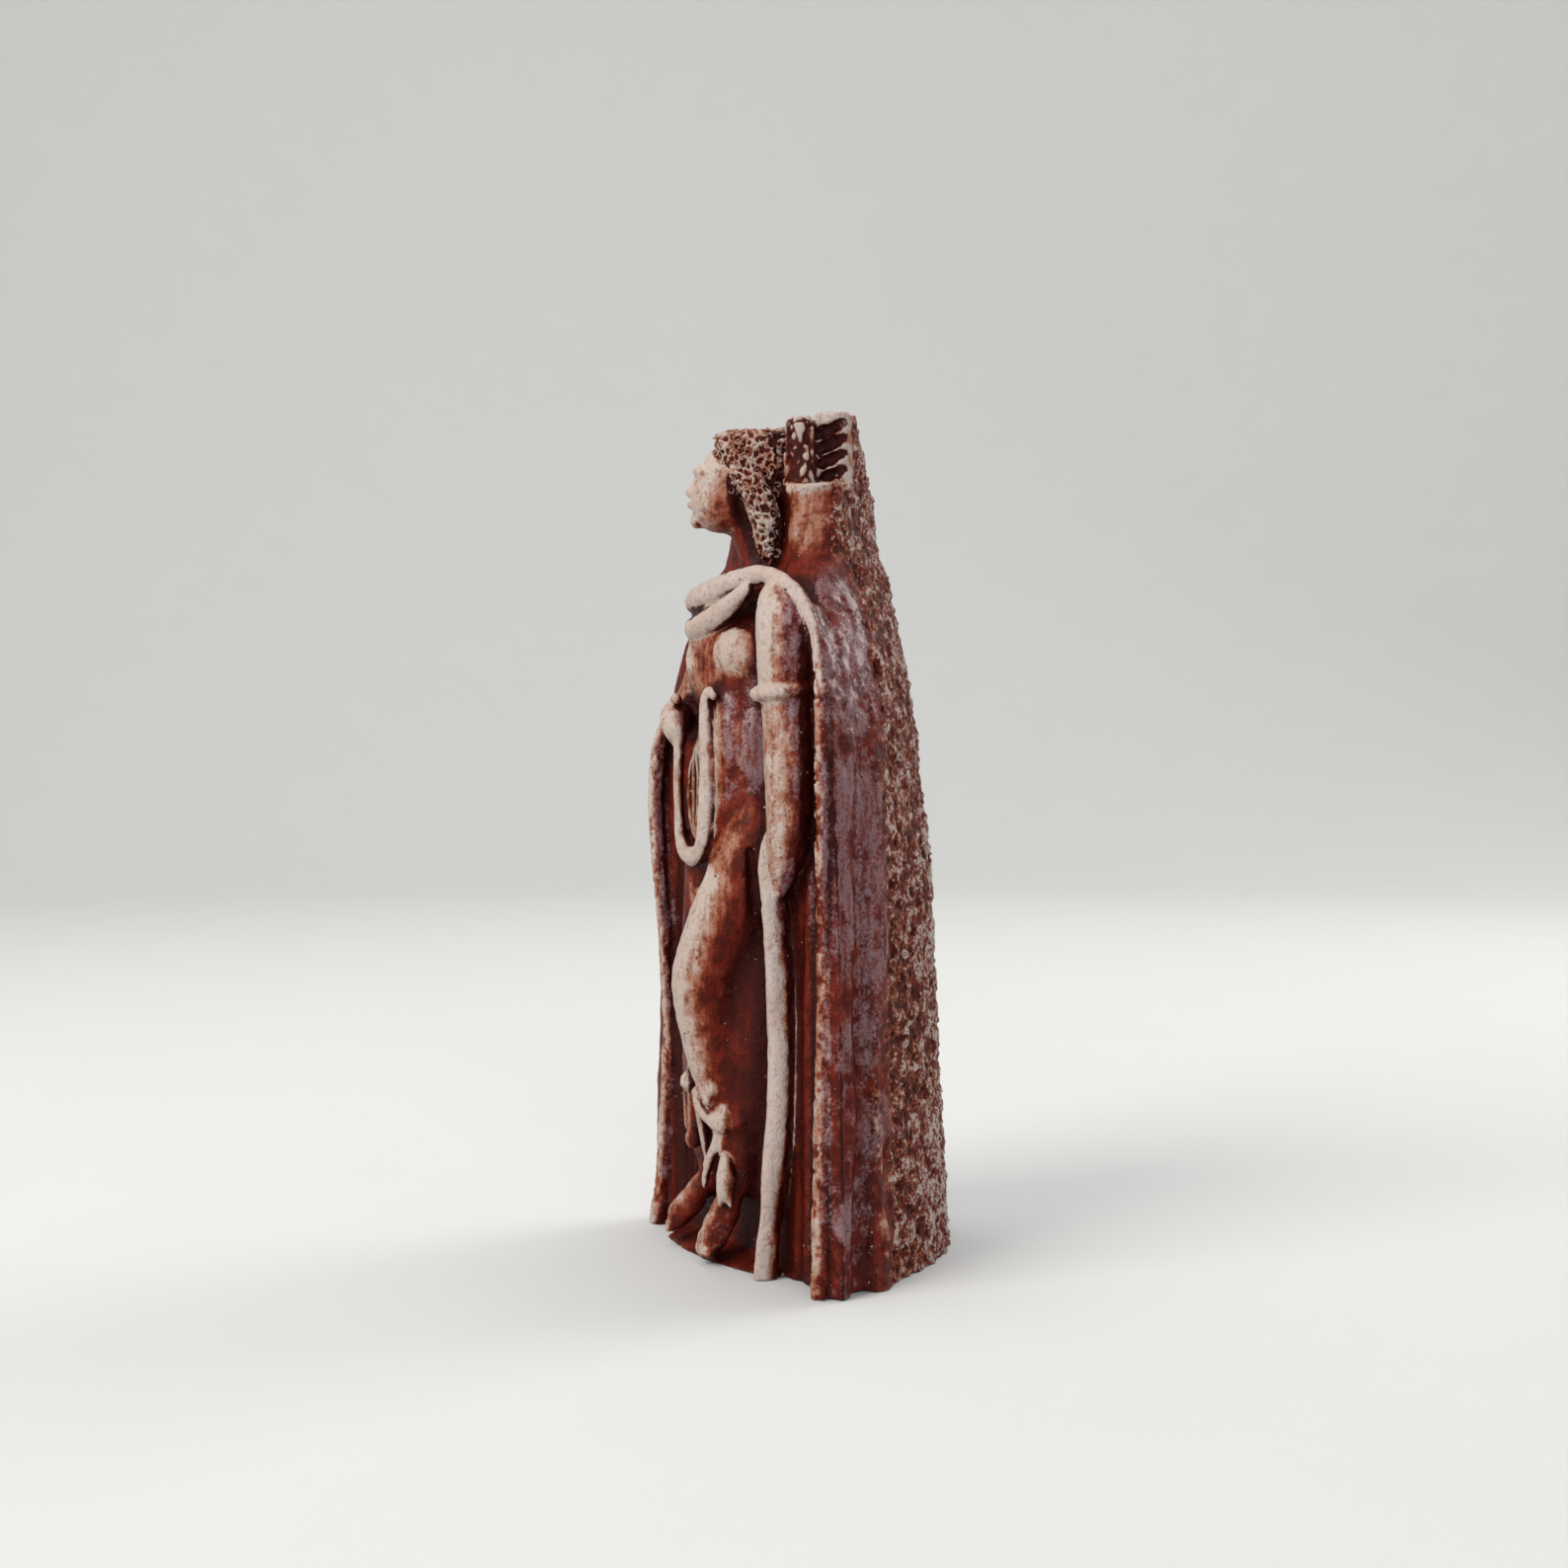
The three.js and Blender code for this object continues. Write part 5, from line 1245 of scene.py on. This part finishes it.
def make_clay_material(name, masks=None):
    """The finish of the casting; masks are fixed numbers where the piece has no attributes of its own."""
    chosen = settings()
    material = bpy.data.materials.new(name)
    material.use_nodes = True
    material.node_tree.nodes.clear()
    nodes = Nodes(material.node_tree)
    inputs = {key: (*getattr(chosen, key.lower()), 1) for key in COLOURS}
    for key, default in MASKS.items():
        if masks:
            inputs[key] = masks.get(key, default)
        else:
            inputs[key] = nodes.add("ShaderNodeAttribute", attribute_name=key.lower()).outputs["Fac"]
    clay = nodes.add("ShaderNodeGroup", inputs, node_tree=bpy.data.node_groups["rubbed_clay"]).outputs
    bump = nodes.add("ShaderNodeBump", {
        "Height": clay["Height"], "Strength": BUMP_STRENGTH, "Distance": BUMP_HEIGHT})
    shader = nodes.add("ShaderNodeBsdfPrincipled", {
        "Base Color": clay["Color"], "Roughness": clay["Roughness"], "Coat Weight": clay["Coat"],
        "Coat Roughness": COAT_ROUGHNESS, "Specular IOR Level": SPECULAR_LEVEL, "Normal": bump.outputs[0]})
    nodes.add("ShaderNodeOutputMaterial", {"Surface": shader.outputs[0]})
    return material


def quad_mesh(name, points, faces):
    """A mesh from arrays of points in metres and four-sided faces."""
    mesh = bpy.data.meshes.new(name)
    mesh.vertices.add(len(points))
    mesh.vertices.foreach_set("co", points.astype(np.float32).ravel())
    mesh.loops.add(faces.size)
    mesh.loops.foreach_set("vertex_index", faces.astype(np.int32).ravel())
    mesh.polygons.add(len(faces))
    mesh.polygons.foreach_set("loop_start", np.arange(0, faces.size, 4, dtype=np.int32))
    mesh.update(calc_edges=True)
    return mesh


def fit_to_frame(points, spare):
    """The points in mm, drawn in where needed to stay inside the CAD box with some room to spare."""
    low, high = [np.array(corner) / MM for corner in CAD_BOX]
    spare = np.array([spare, spare, 0])
    fit = (high - spare) / points.max(axis=0)
    fit[:2] = np.minimum(fit[:2], (low + spare)[:2] / points[:, :2].min(axis=0))
    points = points * np.minimum(fit, 1)
    points[:, 2] = np.maximum(points[:, 2], 0)
    return points


class FIGURINE_OT_casting(bpy.types.Operator):
    """Adds the casting: figure, cloak, lyre frame, quiver and foot in one body"""
    bl_idname = "figurine.casting"
    bl_label = "Add casting"

    def execute(self, context):
        chosen = settings()
        clay = Clay(chosen.step)
        shape_figurine(clay)
        clay.values = np.maximum(clay.values, -clay.axes[2])
        points, faces = clay.surface()
        skin = Skin(clay, points)
        points = points + skin.shift[:, None] * skin.normals
        points[:, :2] -= MIDDLE
        mesh = quad_mesh("casting", fit_to_frame(points, chosen.spare) * MM, faces)
        for key, values in skin.masks().items():
            layer = mesh.attributes.new(key, "FLOAT", "POINT")
            layer.data.foreach_set("value", values.astype(np.float32))
        casting = link_piece("casting", mesh)
        thin = casting.modifiers.new("thin", "DECIMATE")
        thin.ratio = min(chosen.triangles / (2 * len(faces)), 1)
        make_plain(casting)
        mesh = casting.data
        for vertex in mesh.vertices:
            vertex.co.z = max(vertex.co.z, 0)
        shade_smooth(mesh)
        RubbedClay()
        mesh.materials.append(make_clay_material("rubbed_clay"))
        settle(casting)
        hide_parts("figurine")
        return {"FINISHED"}


class Geometry(Nodes):
    """A geometry nodes tree with named inputs."""

    def __init__(self, name, inputs):
        super().__init__(bpy.data.node_groups.new(name, "GeometryNodeTree"))
        for key, kind in inputs:
            socket(self.tree, key, "INPUT", kind)
        socket(self.tree, "Geometry", "OUTPUT", "NodeSocketGeometry")
        self.given = self.add("NodeGroupInput").outputs

    def finish(self, geometry, material):
        """Ends the tree with plain geometry in its material."""
        real = self.add("GeometryNodeRealizeInstances", {0: geometry}).outputs[0]
        done = self.add("GeometryNodeSetMaterial", {"Geometry": real, "Material": material}).outputs[0]
        self.add("NodeGroupOutput", {0: done})

    def tube(self, curve, profile_radius, profile_sides):
        """The curve as a closed tube."""
        inputs = {"Resolution": profile_sides, "Radius": profile_radius}
        profile = self.add("GeometryNodeCurvePrimitiveCircle", inputs).outputs[0]
        inputs = {"Curve": curve, "Profile Curve": profile, "Fill Caps": True}
        return self.add("GeometryNodeCurveToMesh", inputs).outputs[0]

    def read(self, name):
        """A named attribute of the geometry."""
        return self.add("GeometryNodeInputNamedAttribute", {"Name": name}, data_type="FLOAT").outputs[0]

    def make(self, name, values):
        """Makes a piece by the tree with these input values."""
        piece = link_piece(name, bpy.data.meshes.new(name))
        modifier = piece.modifiers.new(name, "NODES")
        modifier.node_group = self.tree
        for item in self.tree.interface.items_tree:
            if item.in_out == "INPUT":
                modifier[item.identifier] = values[item.name]
        make_plain(piece)
        if len(piece.data.polygons) == 0:
            raise RuntimeError(f"{name} came out empty")
        shade_smooth(piece.data)
        settle(piece)


# Strings: points along each, sides of its round, how the row bows out between its ends, how far behind the
# strings the board may lie, in mm, and their fixed masks
STRING_POINTS, STRING_SIDES, STRING_BOW, BOARD_REACH = 40, 8, 0.6, 4
STRING_MASKS = {"Wear": 0.12, "Hollow": 0.05}


class FIGURINE_OT_strings(bpy.types.Operator):
    """Adds the strings, laid on the lyre's sound board between its arms"""
    bl_idname = "figurine.strings"
    bl_label = "Add lyre strings"

    def execute(self, context):
        chosen = settings()
        tree = Geometry("lyre_strings", [
            ("Board", "NodeSocketObject"), ("Strings", "NodeSocketInt"), ("Spread", "NodeSocketFloat"),
            ("Length", "NodeSocketFloat"), ("Radius", "NodeSocketFloat"), ("Middle", "NodeSocketVector"),
            ("Material", "NodeSocketMaterial")])
        given = tree.given

        line = tree.add("GeometryNodeCurvePrimitiveLine", {"Start": (0, 0, 0), "End": (0, 0, 1)}).outputs[0]
        line = tree.add("GeometryNodeResampleCurve", {"Curve": line, "Count": STRING_POINTS}).outputs[0]
        row = tree.add("GeometryNodeMeshLine", {"Count": given["Strings"], "Offset": (0, 0, 0)}).outputs[0]
        spots = tree.add("GeometryNodeMeshToPoints", {"Mesh": row}).outputs[0]
        strings = tree.add("GeometryNodeInstanceOnPoints", {"Points": spots, "Instance": line}).outputs[0]
        number = tree.add("GeometryNodeInputIndex").outputs[0]
        inputs = {"Geometry": strings, "Name": "number", "Value": number}
        strings = tree.add("GeometryNodeStoreNamedAttribute", inputs, data_type="FLOAT",
                           domain="INSTANCE").outputs[0]
        curves = tree.add("GeometryNodeRealizeInstances", {0: strings}).outputs[0]

        part = tree.add("GeometryNodeSplineParameter").outputs["Factor"]
        last = tree.minus(given["Strings"], 1.0)
        side = tree.minus(tree.times(tree.math("DIVIDE", tree.read("number"), last), 2.0), 1.0)
        bow = tree.math("POWER", tree.math("SINE", tree.times(part, math.pi)), STRING_BOW)
        across = tree.times(side, bow, given["Spread"])
        upward = tree.times(tree.minus(part, 0.5), given["Length"])
        offset = tree.add("ShaderNodeCombineXYZ", {0: across, 2: upward}).outputs[0]
        place = tree.add("ShaderNodeVectorMath", {0: given["Middle"], 1: offset}, operation="ADD").outputs[0]
        board = tree.add("GeometryNodeObjectInfo", {"Object": given["Board"]}).outputs["Geometry"]
        hit = tree.add("GeometryNodeRaycast", {
            "Target Geometry": board, "Source Position": place, "Ray Direction": (0, 1, 0),
            "Ray Length": BOARD_REACH * MM}).outputs["Hit Position"]
        laid = tree.add("GeometryNodeSetPosition", {"Geometry": curves, "Position": hit}).outputs[0]
        tree.finish(tree.tube(laid, given["Radius"], STRING_SIDES), given["Material"])

        x, y, z = chosen.string_place
        tree.make("lyre_strings", {
            "Board": bpy.data.objects["casting"], "Strings": chosen.strings,
            "Spread": chosen.string_spread * MM, "Length": chosen.string_length * MM,
            "Radius": chosen.string_radius * MM,
            "Middle": ((x - MIDDLE[0]) * MM, (y - MIDDLE[1]) * MM, z * MM),
            "Material": make_clay_material("string_clay", STRING_MASKS)})
        return {"FINISHED"}


# Small scattered pieces: smallest and largest radius in mm, and their fixed masks
SCATTERED = {
    "hair_curls": (0.22, 0.44, {"Wear": 0.12, "Hollow": 0.1}),
    "burst_bubbles": (0.26, 0.5, {"Wear": 0.35, "Hollow": 0.1}),
    "grit": (0.08, 0.28, {"Wear": 0.15, "Hollow": 0.1}),
}
# Area of the casting that the counts are spread over, in square metres
SCATTER_AREA = 4e-3
# Least distance between curls, then the sweep of a curl and of a bubble's rim in radians, in pieces of this
# number and with a round of this radius and number of sides
CURL_GAP, CURL_SWEEP, RIM_SWEEP, ARC_POINTS, ARC_RADIUS, ARC_SIDES = 0.85, 4.3, 6.28, 12, 0.42, 6
# Least and greatest turn about each axis, in radians
LEAST_SPIN, GREATEST_SPIN = (-0.25, -0.25, 0.0), (0.25, 0.25, 6.28)
# Room kept free above the floor and under the top, in mm, and the patches in which bubbles and grains stand
CLEAR_BELOW, CLEAR_ABOVE = 1.5, 0.9
PATCH_SCALE, PATCH_START, PATCH_GAIN = 160.0, 0.42, 4.0


class Scatter(Geometry):
    """Tree that scatters one small shape over a part of the casting."""

    def __init__(self, name):
        super().__init__(name, [
            ("Casting", "NodeSocketObject"), ("Density", "NodeSocketFloat"), ("Seed", "NodeSocketInt"),
            ("Smallest", "NodeSocketFloat"), ("Largest", "NodeSocketFloat"),
            ("Material", "NodeSocketMaterial")])
        given = self.given
        casting = self.add("GeometryNodeObjectInfo", {"Object": given["Casting"]}).outputs["Geometry"]
        spots = (self.hair_spots if name == "hair_curls" else self.back_spots)(casting)
        if name == "grit":
            shape = self.add("GeometryNodeMeshIcoSphere", {"Radius": 1.0, "Subdivisions": 1}).outputs[0]
        else:
            shape = self.arc(CURL_SWEEP if name == "hair_curls" else RIM_SWEEP)
        size = self.chance(given["Smallest"], given["Largest"])
        turned = self.add("FunctionNodeRotateRotation", {
            "Rotation": spots["Rotation"], "Rotate By": self.chance(LEAST_SPIN, GREATEST_SPIN)},
            rotation_space="LOCAL").outputs[0]
        laid = self.add("GeometryNodeInstanceOnPoints", {
            "Points": spots["Points"], "Instance": shape, "Rotation": turned, "Scale": size}).outputs[0]
        self.finish(laid, given["Material"])

    def chance(self, least, greatest):
        """Three random values for each spot."""
        inputs = {0: least, 1: greatest, "Seed": self.given["Seed"]}
        return self.add("FunctionNodeRandomValue", inputs, data_type="FLOAT_VECTOR").outputs[0]

    def hair_spots(self, casting):
        """Spots on the hair, evenly apart."""
        return self.add("GeometryNodeDistributePointsOnFaces", {
            "Mesh": casting, "Distance Min": CURL_GAP * MM, "Density Max": self.given["Density"],
            "Density Factor": self.step(self.read("hair"), 0.5, 0.9), "Seed": self.given["Seed"]},
            distribute_method="POISSON").outputs

    def back_spots(self, casting):
        """Spots in patches of the coarse back, clear of the floor and the top."""
        place = self.add("GeometryNodeInputPosition").outputs[0]
        height = self.add("ShaderNodeSeparateXYZ", {0: place}).outputs[2]
        above = self.math("GREATER_THAN", height, CLEAR_BELOW * MM)
        below_top = self.math("LESS_THAN", height, (HEIGHT - CLEAR_ABOVE) * MM)
        patches = self.add("ShaderNodeTexNoise", {"Scale": PATCH_SCALE, "Detail": 1.0}).outputs[0]
        patches = self.math("MULTIPLY", self.minus(patches, PATCH_START), PATCH_GAIN, True)
        share = self.times(self.times(self.read("rough"), self.times(above, below_top)), patches)
        return self.add("GeometryNodeDistributePointsOnFaces", {
            "Mesh": casting, "Density": self.times(share, self.given["Density"]), "Seed": self.given["Seed"]},
            distribute_method="RANDOM").outputs

    def arc(self, sweep):
        """Round of clay along part of a circle with a radius of 1."""
        inputs = {"Resolution": ARC_POINTS, "Radius": 1.0, "Sweep Angle": sweep}
        curve = self.add("GeometryNodeCurveArc", inputs).outputs[0]
        return self.tube(curve, ARC_RADIUS, ARC_SIDES)


class FIGURINE_OT_scattered(bpy.types.Operator):
    """Adds curls on the hair, and burst bubbles and grains of grit on the coarse back of the cloak"""
    bl_idname = "figurine.scattered"
    bl_label = "Add curls, bubbles and grit"

    def execute(self, context):
        chosen = settings()
        for (name, (low, high, masks)), count in zip(
                SCATTERED.items(), (chosen.curls, chosen.bubbles, chosen.grit)):
            Scatter(name).make(name, {
                "Casting": bpy.data.objects["casting"], "Density": count / SCATTER_AREA, "Seed": chosen.seed,
                "Smallest": low * MM, "Largest": high * MM,
                "Material": make_clay_material(name + "_clay", masks)})
        return {"FINISHED"}


# Stage in metres: the flat floor and its steps, the bend up to the wall, and the wall's steps
FLOOR_STEP, FLOOR_STEPS = 0.11, 5
BEND, BEND_STEPS = 0.45, 16
WALL_STEP, WALL_STEPS = 0.1, 4
FLOOR_SIDES = 96
SKY_COLOUR = (0.95, 0.96, 1.0, 1)
# Lamps: place and aim as metres to the right, forward and up in the view, size, share of the power and colour
FIGURE = (0, 0, 0.05)
LAMPS = [
    ("key", (-0.42, -0.30, 0.42), FIGURE, 0.34, 1.0, (1.0, 0.97, 0.93)),
    ("window", (0.10, -0.62, 0.30), FIGURE, 0.40, 0.45, (0.84, 0.89, 1.0)),
    ("rim", (0.50, 0.25, 0.35), FIGURE, 0.30, 0.45, (1.0, 0.98, 0.95)),
    ("backdrop", (0, 0.15, 0.7), (0, 0.9, 0.1), 0.50, 1.0, (1.0, 1.0, 1.0)),
]
# What the camera can see from and to, in metres
CLIP_START, CLIP_END = 0.005, 20


def floor_mesh():
    """A round floor that bends up into a low wall."""
    flat = FLOOR_STEP * FLOOR_STEPS
    bends = [step * math.pi / (2 * BEND_STEPS) for step in range(1, BEND_STEPS + 1)]
    profile = [(step * FLOOR_STEP, 0.0) for step in range(1, FLOOR_STEPS + 1)]
    profile += [(flat + BEND * math.sin(t), BEND - BEND * math.cos(t)) for t in bends]
    profile += [(flat + BEND, BEND + WALL_STEP * step) for step in range(1, WALL_STEPS + 1)]
    turns = [2 * math.pi * k / FLOOR_SIDES for k in range(FLOOR_SIDES)]
    points = [(r * math.cos(t), r * math.sin(t), z) for r, z in profile for t in turns]
    points.append((0, 0, 0))
    faces = []
    for row in range(len(profile) - 1):
        low, high = row * FLOOR_SIDES, (row + 1) * FLOOR_SIDES
        for k in range(FLOOR_SIDES):
            after = (k + 1) % FLOOR_SIDES
            faces.append((low + k, high + k, high + after, low + after))
    faces += [(len(points) - 1, k, (k + 1) % FLOOR_SIDES) for k in range(FLOOR_SIDES)]
    mesh = bpy.data.meshes.new("floor")
    mesh.from_pydata(points, [], faces)
    shade_smooth(mesh)
    return mesh


def make_floor_material(colour):
    """A faintly mottled plain colour."""
    material = bpy.data.materials.new("pale_floor")
    material.use_nodes = True
    nodes = Nodes(material.node_tree)
    place = nodes.add("ShaderNodeTexCoord").outputs["Object"]
    light = [min(1, 1.03 * value) for value in colour]
    mottled = nodes.mix(nodes.noise(place, 40.0, 4), (*colour, 1), (*light, 1))
    shader = material.node_tree.nodes["Principled BSDF"]
    material.node_tree.links.new(mottled, shader.inputs["Base Color"])
    shader.inputs["Roughness"].default_value = 0.85
    return material


def set_up(name, data, place, look):
    """A lamp or camera at a place, looking along a direction."""
    holder = bpy.data.objects.new(name, data)
    holder.matrix_world = Matrix.Translation(place) @ look.to_track_quat("-Z", "Y").to_matrix().to_4x4()
    bpy.context.scene.collection.objects.link(holder)
    return holder


class FIGURINE_OT_stage(bpy.types.Operator):
    """Adds the pale floor with its raised rim, the soft lamps and the camera"""
    bl_idname = "figurine.stage"
    bl_label = "Add stage"

    def execute(self, context):
        chosen = settings()
        scene = bpy.context.scene
        mesh = floor_mesh()
        mesh.materials.append(make_floor_material(chosen.floor_colour))
        link_piece("floor", mesh)

        world = bpy.data.worlds.new("studio")
        world.use_nodes = True
        background = world.node_tree.nodes["Background"].inputs
        background["Color"].default_value = SKY_COLOUR
        background["Strength"].default_value = chosen.sky
        scene.world = world

        c, s = math.cos(math.radians(chosen.azimuth)), math.sin(math.radians(chosen.azimuth))
        forward, right, up = Vector((-s, c, 0)), Vector((c, s, 0)), Vector((0, 0, 1))
        for name, place, aim, size, power, colour in LAMPS:
            place, aim = [a * right + b * forward + c * up for a, b, c in (place, aim)]
            lamp = bpy.data.lights.new(name, "AREA")
            lamp.size = size
            lamp.energy = power * chosen.lamp_power
            lamp.color = colour
            set_up(name, lamp, place, aim - place)

        camera = bpy.data.cameras.new("camera")
        camera.lens = chosen.lens
        camera.clip_start, camera.clip_end = CLIP_START, CLIP_END
        yaw, pitch = math.radians(chosen.yaw), math.radians(chosen.pitch)
        look = (forward * math.cos(yaw) + right * math.sin(yaw)) * math.cos(pitch) - up * math.sin(pitch)
        scene.camera = set_up("camera", camera, [value * MM for value in chosen.camera_place], look)
        scene.view_settings.view_transform = "Standard"
        return {"FINISHED"}


def length_mm(name, words, value, **limits):
    return FloatProperty(name=name, description=words + ", in mm", default=value, **limits)


def place_mm(name, words, value):
    return FloatVectorProperty(name=name, description=words + ", in mm", default=value)


def count_of(name, words, value, **limits):
    return IntProperty(name=name, description=words, default=value, **limits)


def colour_of(name, words, value):
    return FloatVectorProperty(
        name=name, description=words, default=value, size=3, subtype="COLOR", min=0, max=1)


def degrees(name, words, value):
    return FloatProperty(name=name, description=words + ", in degrees", default=value)


class FigurineSettings(bpy.types.PropertyGroup):
    """Sizes, counts and colours of the figurine and its stage"""
    step: length_mm("Step", "Sampling step of the casting", 0.22, min=0.15, max=1)
    triangles: count_of("Triangles", "Triangles of the casting", 196000, min=10000)
    spare: length_mm("Spare", "Room left for bubbles beside the casting", 0.12)
    strings: count_of("Strings", "Number of lyre strings", 6, min=2, max=12)
    string_spread: length_mm("Spread", "Half width of the strings", 2.2)
    string_length: length_mm("Length", "Length of the strings", 11.6)
    string_radius: length_mm("String radius", "Radius of a string", 0.2)
    string_place: place_mm("Strings at", "Middle of the strings", (-2.4, -15.3, 52.6))
    curls: count_of("Curls", "Number of small hair curls, at most about", 9000)
    bubbles: count_of("Bubbles", "Number of burst bubbles, about", 60)
    grit: count_of("Grit", "Number of grains, about", 900)
    seed: count_of("Seed", "Seed of the curls, bubbles and grains", 4)
    # The deep tone is the wash in the recesses and also their painted shade
    deep: colour_of("Deep", "Wash in the recesses", (0.020, 0.0015, 0.0008))
    stain: colour_of("Stain", "Red-brown wash", (0.142, 0.012, 0.004))
    # The lighter wash is also laid where light is painted
    warm: colour_of("Warm", "Lighter red-brown wash", (0.28, 0.066, 0.022))
    # Colour of the painted reflection on the smooth folds
    violet: colour_of("Violet", "Smoky sheen of the smooth folds", (0.185, 0.10, 0.11))
    # Beige and cream also carry the painted light on sides facing the front-left
    beige: colour_of("Beige", "Thinly rubbed clay", (0.37, 0.215, 0.15))
    cream: colour_of("Cream", "Bare pale clay", (0.47, 0.40, 0.355))
    floor_colour: colour_of("Floor", "Pale floor", (0.58, 0.58, 0.565))
    sky: FloatProperty(name="Sky", description="Strength of the even light", default=0.38, min=0)
    lamp_power: FloatProperty(
        name="Lamps", description="Power of the main lamp", default=3.5, min=0, unit="POWER")
    azimuth: degrees("Azimuth", "Turn of the view about the figurine", 58)
    camera_place: place_mm("Camera", "Place of the camera", (169.79, -112.05, 56.1))
    lens: length_mm("Lens", "Focal length", 40.806)
    yaw: degrees("Yaw", "Turn of the camera to the right", 0.605)
    pitch: degrees("Pitch", "Tilt of the camera downward", 0.923)


STEPS = ("casting", "strings", "scattered", "stage")


class FIGURINE_PT_panel(bpy.types.Panel):
    """Lists the steps that make the figurine"""
    bl_label = "Figurine"
    bl_idname = "FIGURINE_PT_panel"
    bl_space_type = "VIEW_3D"
    bl_region_type = "UI"
    bl_category = "Figurine"

    def draw(self, context):
        for name in FigurineSettings.__annotations__:
            self.layout.prop(context.scene.figurine, name)
        for name in STEPS:
            self.layout.operator(f"figurine.{name}")


CLASSES = (FigurineSettings, FIGURINE_OT_casting, FIGURINE_OT_strings, FIGURINE_OT_scattered,
           FIGURINE_OT_stage, FIGURINE_PT_panel)


def register():
    for kind in CLASSES:
        bpy.utils.register_class(kind)
    bpy.types.Scene.figurine = PointerProperty(type=FigurineSettings)


def unregister():
    del bpy.types.Scene.figurine
    for kind in reversed(CLASSES):
        bpy.utils.unregister_class(kind)


def main():
    """Makes the pieces and the stage."""
    register()
    for name in STEPS:
        getattr(bpy.ops.figurine, name)()


if __name__ == "__main__":
    main()
